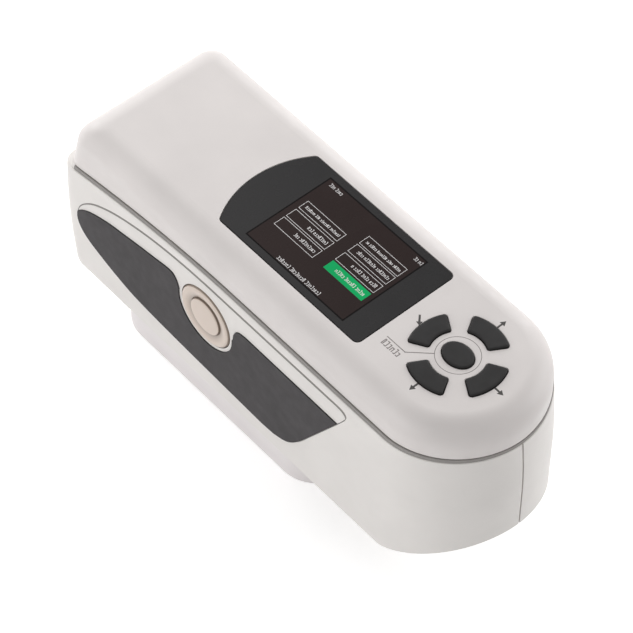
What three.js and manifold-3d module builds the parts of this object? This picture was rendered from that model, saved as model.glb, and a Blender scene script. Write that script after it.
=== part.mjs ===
// Portable colorimeter, in millimetres, +Z up.
// X runs along the body with the round nose at +X, and Y across it with the test button at -Y.
// The origin is on the ground, under the middle of the body.
import * as THREE from "three";
import { mergeVertices } from "three/addons/utils/BufferGeometryUtils.js";
import Module from "manifold-3d";

const wasm = await Module();
wasm.setup();

// Fits
const GAP = 0.3; // between pieces that rest on or beside each other
const OVERRUN = 2; // how far a cut runs past the face that it opens
const WELL_OVERRUN = 2 * OVERRUN; // where what is cut from a cut has to outrun it
const WELD = 0.5; // how far a boss sinks into the wall that carries it
const MERGE = 0.0001; // corners closer than this are one corner

// Whole body
const BODY_LENGTH = 205;
const FRONT_END = BODY_LENGTH / 2;
const REAR_END = -BODY_LENGTH / 2;
const TOP_FACE = 98.5; // height of the flat top above the ground
const BASE_HEIGHT = 20; // height of the lower shells' underside
const NOSE_POWER = 1.94; // exponent of the nose's superellipse
const NOSE_STEPS = 24;
const CORNER_STEPS = 4;

// Seam between the top cover and the lower shells, level in front and dipping towards the rear
const SEAM_DEPTH = 14.8; // below the top face
const SEAM_HEIGHT = TOP_FACE - SEAM_DEPTH;
const SEAM_DIP = 11; // extra depth at the rear end
const SEAM_DIP_LENGTH = 92.5; // of the dipping stretch, from the rear end
const SEAM_DIP_START = REAR_END + SEAM_DIP_LENGTH;
const SEAM_DIP_POWER = 1.7;
const SEAM_OPENING = 1.8; // height of the gap that the gasket fills
const SEAM_STEPS = 9;

// Lower shells
const SHELL_HALF = 33;
const SHELL_NOSE_DRAFT = 1.7; // the nose is this much longer at its foot than at the seam
const SHELL_RUN = 31.4;
const SHELL_REAR_BULGE = 2.4; // depth of the rear wall's curve
const SHELL_CORNER = 6.5;
const SHELL_WALL = 3;
const SHELL_FILLET = 2.4; // round of the lower edge
const SHELL_FILLET_STEPS = 2;
const SHELL_LEVEL_SHARES = [0.25, 0.5, 0.75, 1];
const SHELL_INNER = SHELL_HALF - SHELL_WALL; // from the middle to a side wall's inner face
const SHELL_FLOOR_TOP = BASE_HEIGHT + SHELL_WALL;
const CHIN_LENGTH = 36.5; // of the nose's rising underside
const CHIN_START = FRONT_END - CHIN_LENGTH;
const CHIN_RISE = 19.5;
const CHIN_HEIGHT = BASE_HEIGHT + CHIN_RISE;
const SILL_LENGTH = 8.5; // of the rear wall's thick rim under the cover
const SILL_DEPTH = 6.7; // below the seam

// Top cover
const COVER_STEP = 1; // the cover's sides stand this far inside the shells'
const COVER_HALF = SHELL_HALF - COVER_STEP; // half width at the seam
const COVER_NOSE_STEP = 2.1; // inside the shells' nose
const COVER_NOSE = FRONT_END - COVER_NOSE_STEP;
const COVER_RUN = 30.4; // length of the nose's curved part
const COVER_REAR_STEP = 4.1; // inside the shells' rear end
const COVER_REAR = REAR_END + COVER_REAR_STEP; // rear wall at the seam's rear end
const COVER_LEAN = 7; // how far the rear wall leans forwards up to the top face
const COVER_CORNER = 9;
const COVER_CORNER_TOP = 2.4; // corner radius left at the top face
const COVER_WALL = 2.4;
const COVER_FILLET = 9;
const FILLET_STEPS = 4;

// Gasket in the seam
const GASKET_DEPTH = 2.7; // of its inner edge behind the cover's side

// Keys
const KEYPAD_SETBACK = 33.6; // of the keypad's middle from the nose
const KEYPAD_X = FRONT_END - KEYPAD_SETBACK;
const KEY_OUTER = 17.3;
const KEY_INNER = 9.8;
const KEY_HALF_ANGLE = 30.5; // degrees
const KEY_ARC_STEPS = 7;
const KEY_RISE = 0.8;
const KEY_TRAVEL = 0.8;
const KEY_FLANGE = 0.9; // how far the flange stands out under the cover
const KEY_FLANGE_THICK = 1.1;
const KEY_STEM = 2;
const KEY_STEM_LENGTH = 3;
const CENTRE_KEY_LONG = 6.2;
const CENTRE_KEY_SHORT = 4.8;
const CENTRE_KEY_STEPS = 24;
const MAT_THICK = 1.2;
const MAT_RADIUS = 18.6;
const KEY_BOARD_LENGTH = 37;
const KEY_BOARD_CLEARANCE = 9.6; // to the cover's side walls, where the nose draws in
const KEY_BOARD_HALF = COVER_HALF - COVER_WALL - KEY_BOARD_CLEARANCE;
const BOARD_THICK = 1.6;
const BOARD_POST = 2.4; // radius of the posts that hold the boards
const KEY_POST_INSET = 3.6; // of the front posts from the board's front edge

// Display
const WINDOW_TO_KEYPAD = 25; // from the window's front edge to the keypad's middle
const WINDOW_FRONT = KEYPAD_X - WINDOW_TO_KEYPAD;
const WINDOW_LENGTH = 69.4; // to the corners where the curved rear edge begins
const WINDOW_REAR = WINDOW_FRONT - WINDOW_LENGTH;
const WINDOW_HALF = 21.6;
const WINDOW_SAGITTA = 6.9; // how far the rear edge bulges
const WINDOW_CORNER = 2.2;
const WINDOW_THICK = 1.1;
const WINDOW_ARC_STEPS = 10;
const SCREEN_INSET = 10.2; // of the lit area from the window's front corners
const SCREEN_LENGTH = 49;
const SCREEN_FRONT = WINDOW_FRONT - SCREEN_INSET;
const SCREEN_REAR = SCREEN_FRONT - SCREEN_LENGTH;
const SCREEN_HALF = 18.4;
const PANEL_MARGIN = 2.9; // of the display panel round its lit area
const PANEL_THICK = 2.6;
const PANEL_TAIL = 4.5; // extra length of the panel at its connector end
const FRAME_WALL = 2;

// Main board
const MAIN_BOARD_SETBACK = 40.5; // of its rear edge from the body's rear end
const MAIN_BOARD_TO_KEYPAD = 20.9;
const MAIN_BOARD_CLEARANCE = 6.6; // to the cover's side walls
const MAIN_BOARD_FRONT = KEYPAD_X - MAIN_BOARD_TO_KEYPAD;
const MAIN_BOARD_REAR = REAR_END + MAIN_BOARD_SETBACK;
const MAIN_BOARD_HALF = COVER_HALF - COVER_WALL - MAIN_BOARD_CLEARANCE;
const MAIN_BOARD_DROP = 16.8; // top of the board below the top face
const MAIN_POST_REAR_INSET = 7;
const MAIN_POST_FRONT_INSET = 3.4;
const MAIN_POST_REAR = MAIN_BOARD_REAR + MAIN_POST_REAR_INSET;
const MAIN_POST_FRONT = MAIN_BOARD_FRONT - MAIN_POST_FRONT_INSET;
const MAIN_POST_REAR_Y = 18;
const MAIN_POST_FRONT_Y = 12;
const PROCESSOR_SIZE = 14;
const PROCESSOR_THICK = 1.4;
const PROCESSOR_INSET = 22; // of its middle from the board's rear edge
const PROCESSOR_X = MAIN_BOARD_REAR + PROCESSOR_INSET;

// Side panel and grip, measured along X from the leaf's rear tip and up from its lower edge
const LEAF_SETBACK = 10; // of the rear tip from the body's rear end
const LEAF_REAR = REAR_END + LEAF_SETBACK;
const LEAF_LENGTH = 144.5;
const LEAF_RISE = 9; // of its lower edge above the shells' underside
const LEAF_FOOT = BASE_HEIGHT + LEAF_RISE;
const LEAF_HEIGHT = 49.3;
const LEAF_TOP_SHARES = [
  [0, 0.44],
  [0.012, 0.55],
  [0.05, 0.675],
  [0.1, 0.77],
  [0.18, 0.865],
  [0.29, 0.943],
  [0.4, 0.985],
  [0.5, 1],
];
const LEAF_FRONT_SHARES = [
  [0.945, 1],
  [0.985, 0.995],
  [1, 0.95],
  [0.985, 0.86],
];
const LEAF_HEEL_SHARES = [
  [0.845, 0.22],
  [0.815, 0.11],
  [0.785, 0.045],
  [0.745, 0.008],
];
const LEAF_FOOT_SHARES = [
  [0.7, 0],
  [0.39, 0.04],
  [0.235, 0.075],
  [0.155, 0.125],
  [0.08, 0.2],
  [0.035, 0.26],
  [0.008, 0.34],
];
const LEAF_STEPS = 22;
const GRIP_TOP_SHARES = [
  [-0.02, 0.43],
  [0.006, 0.49],
  [0.024, 0.537],
  [0.05, 0.585],
  [0.09, 0.633],
  [0.14, 0.676],
  [0.19, 0.704],
  [0.25, 0.738],
  [0.31, 0.768],
  [0.35, 0.79],
];
const GRIP_SHOULDER_SHARES = [
  [0.364, 0.794],
  [0.378, 0.788],
  [0.389, 0.757],
  [0.396, 0.715],
];
const GRIP_HOOK_SHARES = [
  [0.601, 0.68],
  [0.604, 0.735],
  [0.612, 0.777],
  [0.625, 0.803],
  [0.645, 0.814],
];
const GRIP_END_SHARES = [0.972, 0.802];
const GRIP_MARGIN = 6; // how far the grip's cutting outline runs past the leaf
const PANEL_POCKET = 1.8; // depth of the pocket in the shell
const GROOVE = 0.6; // open groove round the panel
const GRIP_PROUD = 0.5;

// Test button, its switch and the bracket behind it
const BUTTON_SETBACK = 71.9; // of its middle from the leaf's rear tip
const BUTTON_X = LEAF_REAR + BUTTON_SETBACK;
const BUTTON_RISE = 31.3; // of its middle above the leaf's lower edge
const BUTTON_Z = LEAF_FOOT + BUTTON_RISE;
const BUTTON_RADIUS = 12.6;
const BUTTON_CLEARANCE = 0.35;
const BUTTON_PROUD = 0.8;
const BUTTON_TRAVEL = 1.2;
const BUTTON_DISC = 7.35; // radius of the raised middle disc
const BUTTON_EDGE = 0.5; // width of the cap's rounded rim
const BUTTON_EDGE_DROP = 0.4; // height of that rim
const BUTTON_CREST = 1.1; // width from the rim to the crest of the cap's ring
const BUTTON_SHOULDER_DROP = 0.1;
const BUTTON_FOOT_WIDTH = 0.35; // of the dish's foot round the middle disc
const BUTTON_FOOT_DROP = 0.7;
const BUTTON_DISC_DROP = 0.05;
const COLLAR_WIDTH = 1.7; // of the white ring between the button and the grip
const COLLAR_PROUD = 0.6;
const HOOK_FROM = 172; // degrees, where the grip's edge meets that ring
const HOOK_TO = 363;
const BUTTON_FLANGE = 1.5;
const BUTTON_FLANGE_THICK = 1.2;
const BUTTON_STEM = 3;
const BUTTON_STEM_LENGTH = 3.4;
const ROUND_STEPS = 32;
const PLUNGER_RADIUS = 1.6;
const PLUNGER_LENGTH = 5.2;
const PLUNGER_SHOWN = 2.4; // length outside the switch at rest
const SWITCH_SIZE = 12;
const SWITCH_DEPTH = 6.4;
const BRACKET_POST_SPACING = 18;
const BRACKET_MARGIN = 3.4;
const BRACKET_HEIGHT = 15;
const BRACKET_THICK = 1.6;

// Base block and what is in its floor
const FOOT_SETBACK = 20.5; // of the block's rear end from the body's
const FOOT_REAR = REAR_END + FOOT_SETBACK;
const FOOT_LENGTH = 111;
const FOOT_FRONT = FOOT_REAR + FOOT_LENGTH;
const FOOT_STEP = 5.25; // the block's sides stand this far inside the shells'
const FOOT_HALF = SHELL_HALF - FOOT_STEP;
const FOOT_CORNER = 15;
const FOOT_WALL = 2.5;
const FOOT_FLOOR = 3;
const FOOT_EDGE = 0.8; // chamfer of the lower edge
const FOOT_CORNER_STEPS = 6;
const OPTIC_SETBACK = 29; // of the optical axis from the block's front end
const OPTIC_X = FOOT_FRONT - OPTIC_SETBACK;
const PORT_RADIUS = 4; // the measuring aperture is 8 mm across
const PORT_FLARE = 1.4;
const PORT_FLARE_DEPTH = 1;
const PORT_RING = 8.6;
const PORT_FLANGE = 2.6;
const PORT_FLANGE_THICK = 1;
const BATTERY_COVER_INSET = 7; // from the block's rear end
const BATTERY_COVER_REAR = FOOT_REAR + BATTERY_COVER_INSET;
const BATTERY_COVER_LENGTH = 46;
const BATTERY_COVER_HALF = 17;
const BATTERY_COVER_THICK = 1.7;
const BATTERY_COVER_CORNER = 3;
const BATTERY_LEDGE = 6.5; // of the floor under the cover's two ends
const BATTERY_SIDE_LEDGE = 2;
const BATTERY_LENGTH = 44;
const BATTERY_HALF = 16;
const BATTERY_HEIGHT = 11;

// Optical head; the sphere's lower half has a plate that rests on the shells' floor
const SPHERE_INNER = 18;
const SPHERE_WALL = 2.4;
const SPHERE_PORT = 5;
const SPHERE_FLANGE = 23.4;
const SPHERE_FLANGE_THICK = 1.7;
const SPHERE_HEIGHT = SHELL_FLOOR_TOP + GAP + SPHERE_FLANGE_THICK; // of its centre
const SPHERE_PLATE_MARGIN = 2.6; // between that plate and the shells' side walls
const SPHERE_PLATE_HALF = SHELL_INNER - SPHERE_PLATE_MARGIN;
const SPHERE_PLATE_LENGTH = 34;
const SPHERE_STEPS = 6;
const SPHERE_ROUND = 24;
const VIEW_TILT = 8; // degrees between the detector's axis and the sample's normal
const TUBE_RADIUS = 5;
const TUBE_BORE = 3.7;
const TUBE_SEAT = 0.5; // of the tube's foot above the sphere's inner top
const TUBE_FOOT = SPHERE_HEIGHT + SPHERE_INNER + TUBE_SEAT;
const TUBE_LENGTH = 21;
const LENS_THICK = 2;
const LENS_PLACE = 11;
const SENSOR_BOARD_SIZE = 22;
const SENSOR_SIZE = 4.6;
const SENSOR_THICK = 1;
const LIGHT_BOARD_RADIUS = 20;
const SEAT_RADIUS = 9; // of the light board's seat on top of the sphere
const SEAT_RISE = 1.2; // of that seat above the sphere's top
const LED_COUNT = 3;
const LED_RING = 13;
const LED_RADIUS = 2.5;
const LED_REACH = 1.2; // how far a lamp stops short of the sphere's inner face

// Rear sockets
const SOCKET_BOARD_RISE = 18; // above the shells' underside
const SOCKET_BOARD_HEIGHT = BASE_HEIGHT + SOCKET_BOARD_RISE;
const SOCKET_BOARD_SETBACK = 1; // from the rear wall
const SOCKET_BOARD_LENGTH = 18;
const SOCKET_BOARD_HALF = 17;
const SOCKET_RECESS = 1.2;
const USB_Y = -9;
const USB_WIDTH = 12;
const USB_HEIGHT = 10.8;
const USB_DEPTH = 15;
const USB_RIM = 1.6;
const USB_MOUTH_DEPTH = 9;
const USB_TONGUE_WIDTH = 5.6;
const USB_TONGUE_THICK = 3.1;
const USB_TONGUE_SETBACK = 4.6;
const JACK_Y = 10;
const JACK_WIDTH = 9;
const JACK_HEIGHT = 10.8;
const JACK_DEPTH = 13;
const JACK_BORE = 3.1;
const JACK_MOUTH_DEPTH = 9;
const JACK_PIN = 1;
const JACK_PIN_SETBACK = 4.6;
const LEDGE_INNER = 12;
const LEDGE_LENGTH = 9;
const LEDGE_THICK = 2.6;

// Screws and the bosses that they go into
const SCREW_STEPS = 12;
const CASE_SCREW_REAR_SETBACK = 18.5; // from the body's rear end
const CASE_SCREW_FRONT_SETBACK = 48.5; // from the nose
const CASE_SCREW_REAR = REAR_END + CASE_SCREW_REAR_SETBACK;
const CASE_SCREW_FRONT = FRONT_END - CASE_SCREW_FRONT_SETBACK;
const CASE_SCREW_REAR_INSET = 8; // from a side wall's inner face
const CASE_SCREW_FRONT_INSET = 5;
const CASE_SCREW_REAR_Y = SHELL_INNER - CASE_SCREW_REAR_INSET;
const CASE_SCREW_FRONT_Y = SHELL_INNER - CASE_SCREW_FRONT_INSET;
const CASE_SCREW = { shank: 1.5, head: 2.8, headHeight: 2, length: 24 };
const CASE_BOSS = 3.9;
const CASE_BOSS_DROP = 37.5; // the shell's post meets the cover's boss this far below the top face
const CASE_BOSS_JOINT = TOP_FACE - CASE_BOSS_DROP;
const CASE_SEAT = 10; // thickness of the post under the screw's head
const BASE_SCREW = { shank: 1.3, head: 2.5, headHeight: 1.8, length: 22 };
const BASE_BOSS = 3.6;
const BASE_SCREW_INSET = 7.6; // from the block's end and side walls
const BASE_SEAT = 14; // thickness of the block's post over the screw's head
const SHELL_BOSS_HEIGHT = 8;
const SMALL_SCREW = { shank: 1, head: 1.9, headHeight: 1.1, length: 5.6 };
const SMALL_BOSS = 2.9;
const SMALL_BOSS_HEIGHT = 5;
const KEY_SCREW_LENGTH = 4.6;
const FLAT_HEAD_HEIGHT = 0.55; // of the battery cover's screws
const HEAD_SINK = 0.6; // of a flat head's recess past its top

// Colours from the photograph
const FINISH = {
  cover: { color: 0xd8d3d1, roughness: 0.55, metalness: 0 },
  shell: { color: 0xe1dedb, roughness: 0.55, metalness: 0 },
  foot: { color: 0xd9d5da, roughness: 0.6, metalness: 0 },
  gasket: { color: 0x7d7873, roughness: 0.8, metalness: 0 },
  grip: { color: 0x4b4949, roughness: 0.85, metalness: 0 },
  key: { color: 0x333230, roughness: 0.8, metalness: 0 },
  window: { color: 0x3c3c3c, roughness: 0.1, metalness: 0 },
  screen: { color: 0x342a2a, roughness: 0.3, metalness: 0 },
  button: { color: 0xd7c8b9, roughness: 0.4, metalness: 0 },
  board: { color: 0x1f6b45, roughness: 0.5, metalness: 0 },
  chip: { color: 0x202022, roughness: 0.5, metalness: 0 },
  black: { color: 0x2a2a2b, roughness: 0.6, metalness: 0 },
  white: { color: 0xf2f2ee, roughness: 0.9, metalness: 0 },
  glass: { color: 0xdfe8ea, roughness: 0.05, metalness: 0 },
  lamp: { color: 0xf4ecd0, roughness: 0.2, metalness: 0 },
  cell: { color: 0x3a5f9a, roughness: 0.4, metalness: 0 },
  steel: { color: 0xb4b6b8, roughness: 0.3, metalness: 1 },
};

const root = new THREE.Group();

// A closed geometry as a solid that can be joined and cut.
function solidFrom(geometry) {
  const bare = geometry.clone();
  bare.deleteAttribute("normal");
  bare.deleteAttribute("uv");
  const merged = mergeVertices(bare, MERGE);
  const mesh = new wasm.Mesh({
    numProp: 3,
    vertProperties: new Float32Array(merged.attributes.position.array),
    triVerts: new Uint32Array(merged.index.array),
  });
  return new wasm.Manifold(mesh);
}

// A solid as a named mesh of the assembly.
function addPiece(name, solid, finish) {
  const made = solid.getMesh();
  const geometry = new THREE.BufferGeometry();
  geometry.setAttribute("position", new THREE.BufferAttribute(made.vertProperties, 3));
  geometry.setIndex(new THREE.BufferAttribute(made.triVerts, 1));
  geometry.computeVertexNormals();
  const mesh = new THREE.Mesh(geometry, new THREE.MeshStandardMaterial(finish));
  mesh.name = name;
  root.add(mesh);
}

function joined(solids) {
  return solids.reduce((sum, next) => sum.add(next));
}

// Prism of an outline [x, y] between two heights.
function prism(outline, low, high) {
  const shape = new THREE.Shape(outline.map(([x, y]) => new THREE.Vector2(x, y)));
  const geometry = new THREE.ExtrudeGeometry(shape, { depth: high - low, bevelEnabled: false });
  return solidFrom(geometry.translate(0, 0, low));
}

// Prism of an outline [x, z] between two places across the body.
function sidePrism(outline, near, far) {
  const shape = new THREE.Shape(outline.map(([x, z]) => new THREE.Vector2(x, z)));
  const geometry = new THREE.ExtrudeGeometry(shape, { depth: far - near, bevelEnabled: false });
  return solidFrom(geometry.rotateX(Math.PI / 2).translate(0, far, 0));
}

function block(x0, x1, y0, y1, z0, z1) {
  const geometry = new THREE.BoxGeometry(x1 - x0, y1 - y0, z1 - z0);
  return solidFrom(geometry.translate((x0 + x1) / 2, (y0 + y1) / 2, (z0 + z1) / 2));
}

// Round bar along Z, Y or X.
function barZ(x, y, radius, low, high, steps = SCREW_STEPS) {
  const geometry = new THREE.CylinderGeometry(radius, radius, high - low, steps);
  return solidFrom(geometry.rotateX(Math.PI / 2).translate(x, y, (low + high) / 2));
}

function barY(x, z, radius, near, far, steps = SCREW_STEPS) {
  const geometry = new THREE.CylinderGeometry(radius, radius, far - near, steps);
  return solidFrom(geometry.translate(x, (near + far) / 2, z));
}

function barX(y, z, radius, rear, front, steps = SCREW_STEPS) {
  const geometry = new THREE.CylinderGeometry(radius, radius, front - rear, steps);
  return solidFrom(geometry.rotateZ(Math.PI / 2).translate((rear + front) / 2, y, z));
}

// Solid of revolution about Z, from a closed profile of [radius, height] points.
function turned(profile, steps = ROUND_STEPS) {
  const points = profile.map(([r, z]) => new THREE.Vector2(r, z));
  const geometry = new THREE.LatheGeometry(points, steps);
  return solidFrom(geometry.rotateX(Math.PI / 2));
}

// Closed solid through rings of equal count, from the first ring's cap to the last ring's cap.
function loft(rings) {
  const count = rings[0].length;
  const places = rings.flat().flatMap((p) => [p.x, p.y, p.z]);
  const faces = [];
  rings.slice(1).forEach((ring, level) => {
    const low = level * count;
    const high = low + count;
    ring.forEach((_, i) => {
      const next = (i + 1) % count;
      faces.push(low + i, low + next, high + next);
      faces.push(low + i, high + next, high + i);
    });
  });
  const flat = (ring) => ring.map((p) => new THREE.Vector2(p.x, p.y));
  const last = (rings.length - 1) * count;
  THREE.ShapeUtils.triangulateShape(flat(rings[0]), []).forEach(([a, b, c]) => faces.push(a, c, b));
  THREE.ShapeUtils.triangulateShape(flat(rings.at(-1)), []).forEach(([a, b, c]) =>
    faces.push(last + a, last + b, last + c),
  );
  const geometry = new THREE.BufferGeometry();
  geometry.setAttribute("position", new THREE.Float32BufferAttribute(places, 3));
  geometry.setIndex(faces);
  return solidFrom(geometry);
}

// Points of an arc about a centre, in degrees, both ends included.
function arc(x, y, radius, from, to, steps) {
  return Array.from({ length: steps + 1 }, (_, i) => {
    const angle = THREE.MathUtils.degToRad(THREE.MathUtils.lerp(from, to, i / steps));
    return [x + radius * Math.cos(angle), y + radius * Math.sin(angle)];
  });
}

function roundedRectangle(x0, x1, half, corner, steps = CORNER_STEPS) {
  return [
    ...arc(x0 + corner, -half + corner, corner, 180, 270, steps),
    ...arc(x1 - corner, -half + corner, corner, 270, 360, steps),
    ...arc(x1 - corner, half - corner, corner, 0, 90, steps),
    ...arc(x0 + corner, half - corner, corner, 90, 180, steps),
  ];
}

// Outline of the body in plan: round rear corners, straight sides and a superellipse nose.
function bodyOutline({ half, rear, nose, run, corner }) {
  const quarter = (share) => {
    const angle = THREE.MathUtils.lerp(-Math.PI / 2, Math.PI / 2, share);
    const along = Math.abs(Math.cos(angle)) ** (2 / NOSE_POWER);
    const across = Math.sign(angle) * Math.abs(Math.sin(angle)) ** (2 / NOSE_POWER);
    return [nose - run + run * along, half * across];
  };
  const nosePoints = Array.from({ length: NOSE_STEPS + 1 }, (_, i) => quarter(i / NOSE_STEPS));
  return [
    ...arc(rear + corner, -half + corner, corner, 180, 270, CORNER_STEPS),
    ...nosePoints,
    ...arc(rear + corner, half - corner, corner, 90, 180, CORNER_STEPS),
  ];
}

function ringAt(outline, height) {
  return outline.map(([x, y]) => new THREE.Vector3(x, y, height));
}

// Height of the seam's middle line at a place along the body.
function seamAt(x) {
  const share = Math.max(0, (SEAM_DIP_START - x) / (SEAM_DIP_START - REAR_END));
  return SEAM_HEIGHT - SEAM_DIP * share ** SEAM_DIP_POWER;
}

// Everything between the seam line, moved up by offset, and a level far above or below it.
function seamBlade(offset, level) {
  const rear = REAR_END - COVER_LEAN;
  const front = FRONT_END + OVERRUN;
  const dip = Array.from({ length: SEAM_STEPS + 1 }, (_, i) =>
    THREE.MathUtils.lerp(rear, SEAM_DIP_START, i / SEAM_STEPS),
  );
  const line = [...dip, front].map((x) => [x, seamAt(x) + offset]);
  return sidePrism([...line, [front, level], [rear, level]], -SHELL_HALF - OVERRUN, SHELL_HALF + OVERRUN);
}

const rearSeam = seamAt(REAR_END);

// Top cover's outline, drawn in from the seam outline by inset, at a height.
function coverOutline(inset, height) {
  const rise = (height - rearSeam) / (TOP_FACE - rearSeam);
  const corner = THREE.MathUtils.lerp(COVER_CORNER, COVER_CORNER_TOP, Math.min(1, inset / COVER_FILLET));
  return bodyOutline({
    half: COVER_HALF - inset,
    rear: COVER_REAR + inset + COVER_LEAN * rise,
    nose: COVER_NOSE - inset,
    run: COVER_RUN - inset,
    corner,
  });
}

// Rings of a cover-shaped solid whose top edge is rounded; wall is how far it lies inside the outer face.
function coverRings(wall, floor) {
  const top = TOP_FACE - wall;
  const fillet = COVER_FILLET - wall;
  const rings = [ringAt(coverOutline(wall, floor), floor)];
  for (let step = 0; step <= FILLET_STEPS; step++) {
    const angle = (Math.PI / 2) * (step / FILLET_STEPS);
    const height = top - fillet + fillet * Math.sin(angle);
    const inset = wall + fillet * (1 - Math.cos(angle));
    rings.push(ringAt(coverOutline(inset, height), height));
  }
  return rings;
}

// Lower shells' outline, drawn in by inset, at a height.
function shellOutline(inset, height) {
  const middle = (SEAM_HEIGHT + BASE_HEIGHT) / 2;
  const span = (SEAM_HEIGHT - BASE_HEIGHT) / 2;
  const bulge = SHELL_REAR_BULGE * ((height - middle) / span) ** 2;
  const draft = SHELL_NOSE_DRAFT * ((height - CHIN_HEIGHT) / (SEAM_HEIGHT - CHIN_HEIGHT));
  return bodyOutline({
    half: SHELL_HALF - inset,
    rear: REAR_END + bulge + inset,
    nose: FRONT_END - draft - inset,
    run: SHELL_RUN - inset,
    corner: SHELL_CORNER - Math.min(inset, SHELL_CORNER / 2),
  });
}

function shellRings(wall, foot, crown) {
  const rings = [];
  for (let step = 0; step <= SHELL_FILLET_STEPS; step++) {
    const angle = (Math.PI / 2) * (step / SHELL_FILLET_STEPS);
    const height = foot + SHELL_FILLET * (1 - Math.cos(angle));
    rings.push(ringAt(shellOutline(wall + SHELL_FILLET * (1 - Math.sin(angle)), height), height));
  }
  const start = foot + SHELL_FILLET;
  SHELL_LEVEL_SHARES.forEach((share) => {
    const height = THREE.MathUtils.lerp(start, crown, share);
    rings.push(ringAt(shellOutline(wall, height), height));
  });
  return rings;
}

// The wedge under the nose's rising chin; lift moves its sloping face up.
function chinWedge(foot, lift) {
  const slope = (CHIN_HEIGHT - BASE_HEIGHT) / (FRONT_END - CHIN_START);
  const end = FRONT_END + OVERRUN;
  const start = CHIN_START - (lift - (foot - BASE_HEIGHT)) / slope;
  const high = foot + slope * (end - start);
  const outline = [
    [start, foot],
    [start, foot - SHELL_HALF],
    [end, foot - SHELL_HALF],
    [end, high],
  ];
  return sidePrism(outline, -SHELL_HALF - OVERRUN, SHELL_HALF + OVERRUN);
}

// Points of the leaf's or the grip's outline from shares of the leaf's length and height.
function leafPoint([u, v]) {
  return [LEAF_REAR + LEAF_LENGTH * u, LEAF_FOOT + LEAF_HEIGHT * v];
}

function smooth(shares, steps) {
  const points = shares.map(leafPoint).map(([x, z]) => new THREE.Vector2(x, z));
  return new THREE.SplineCurve(points).getPoints(steps).map((p) => [p.x, p.y]);
}

// The leaf's outline runs forwards along the top, down the slanting front and back along the foot.
const leafOutline = [
  ...smooth(LEAF_TOP_SHARES, LEAF_STEPS),
  ...smooth(LEAF_FRONT_SHARES, CORNER_STEPS),
  ...smooth(LEAF_HEEL_SHARES, CORNER_STEPS),
  ...smooth(LEAF_FOOT_SHARES, LEAF_STEPS),
];

// An outline moved out square to itself by distance; it is drawn in where distance is negative.
function grown(outline, distance) {
  const turn = Math.sign(THREE.ShapeUtils.area(outline.map(([x, y]) => new THREE.Vector2(x, y))));
  return outline.map(([x, y], i) => {
    const [px, py] = outline.at(i - 1);
    const [nx, ny] = outline[(i + 1) % outline.length];
    const before = new THREE.Vector2(x - px, y - py).normalize();
    const after = new THREE.Vector2(nx - x, ny - y).normalize();
    const along = before.add(after).normalize();
    return [x + turn * along.y * distance, y - turn * along.x * distance];
  });
}

// Everything below the grip's upper edge, which dips round the test button where there is one.
function gripRegion(withButton, distance) {
  const lowest = LEAF_FOOT - GRIP_MARGIN;
  const collar = BUTTON_RADIUS + COLLAR_WIDTH;
  const hook = withButton
    ? [
        ...smooth(GRIP_SHOULDER_SHARES, GRIP_SHOULDER_SHARES.length - 1),
        ...arc(BUTTON_X, BUTTON_Z, collar, HOOK_FROM, HOOK_TO, ROUND_STEPS / 2),
        ...smooth(GRIP_HOOK_SHARES, GRIP_HOOK_SHARES.length - 1),
      ]
    : [];
  const [endX, endZ] = leafPoint(GRIP_END_SHARES);
  const [startX] = leafPoint(GRIP_TOP_SHARES[0]);
  const outline = [
    ...smooth(GRIP_TOP_SHARES, LEAF_STEPS / 2),
    ...hook,
    [endX, endZ],
    [endX + GRIP_MARGIN, endZ],
    [endX + GRIP_MARGIN, lowest],
    [startX, lowest],
  ];
  return grown(outline, distance);
}

// Windows, keys and screws
function windowOutline(distance) {
  const chord = WINDOW_HALF;
  const radius = (chord ** 2 + WINDOW_SAGITTA ** 2) / (2 * WINDOW_SAGITTA);
  const reach = THREE.MathUtils.radToDeg(Math.asin(chord / radius));
  const centre = WINDOW_REAR - WINDOW_SAGITTA + radius;
  const outline = [
    ...arc(WINDOW_FRONT - WINDOW_CORNER, -WINDOW_HALF + WINDOW_CORNER, WINDOW_CORNER, 270, 360, CORNER_STEPS),
    ...arc(WINDOW_FRONT - WINDOW_CORNER, WINDOW_HALF - WINDOW_CORNER, WINDOW_CORNER, 0, 90, CORNER_STEPS),
    ...arc(centre, 0, radius, 180 - reach, 180 + reach, WINDOW_ARC_STEPS),
  ];
  return grown(outline, distance);
}

function curvedKeyOutline(direction, distance) {
  const outline = [
    ...arc(KEYPAD_X, 0, KEY_OUTER, direction - KEY_HALF_ANGLE, direction + KEY_HALF_ANGLE, KEY_ARC_STEPS),
    ...arc(KEYPAD_X, 0, KEY_INNER, direction + KEY_HALF_ANGLE, direction - KEY_HALF_ANGLE, KEY_ARC_STEPS),
  ];
  return grown(outline, distance);
}

function centreKeyOutline(distance) {
  return Array.from({ length: CENTRE_KEY_STEPS }, (_, i) => {
    const angle = (2 * Math.PI * i) / CENTRE_KEY_STEPS;
    const along = CENTRE_KEY_LONG + distance;
    const across = CENTRE_KEY_SHORT + distance;
    return [KEYPAD_X + along * Math.cos(angle), across * Math.sin(angle)];
  });
}

const keyMiddle = (KEY_OUTER + KEY_INNER) / 2;
const KEYS = [
  { name: "key_centre", outline: centreKeyOutline, stem: [KEYPAD_X, 0] },
  ...[
    ["key_front", 0],
    ["key_left", 90],
    ["key_rear", 180],
    ["key_right", 270],
  ].map(([name, direction]) => ({
    name,
    outline: (distance) => curvedKeyOutline(direction, distance),
    stem: arc(KEYPAD_X, 0, keyMiddle, direction, direction, 1)[0],
  })),
];

// Screw along Z whose head is below its shank; head gives the height of the head's lower face.
function screw({ shank, head, headHeight, length }, x, y, foot) {
  const top = foot + headHeight + length;
  return barZ(x, y, head, foot, foot + headHeight).add(barZ(x, y, shank, foot, top));
}

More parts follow.
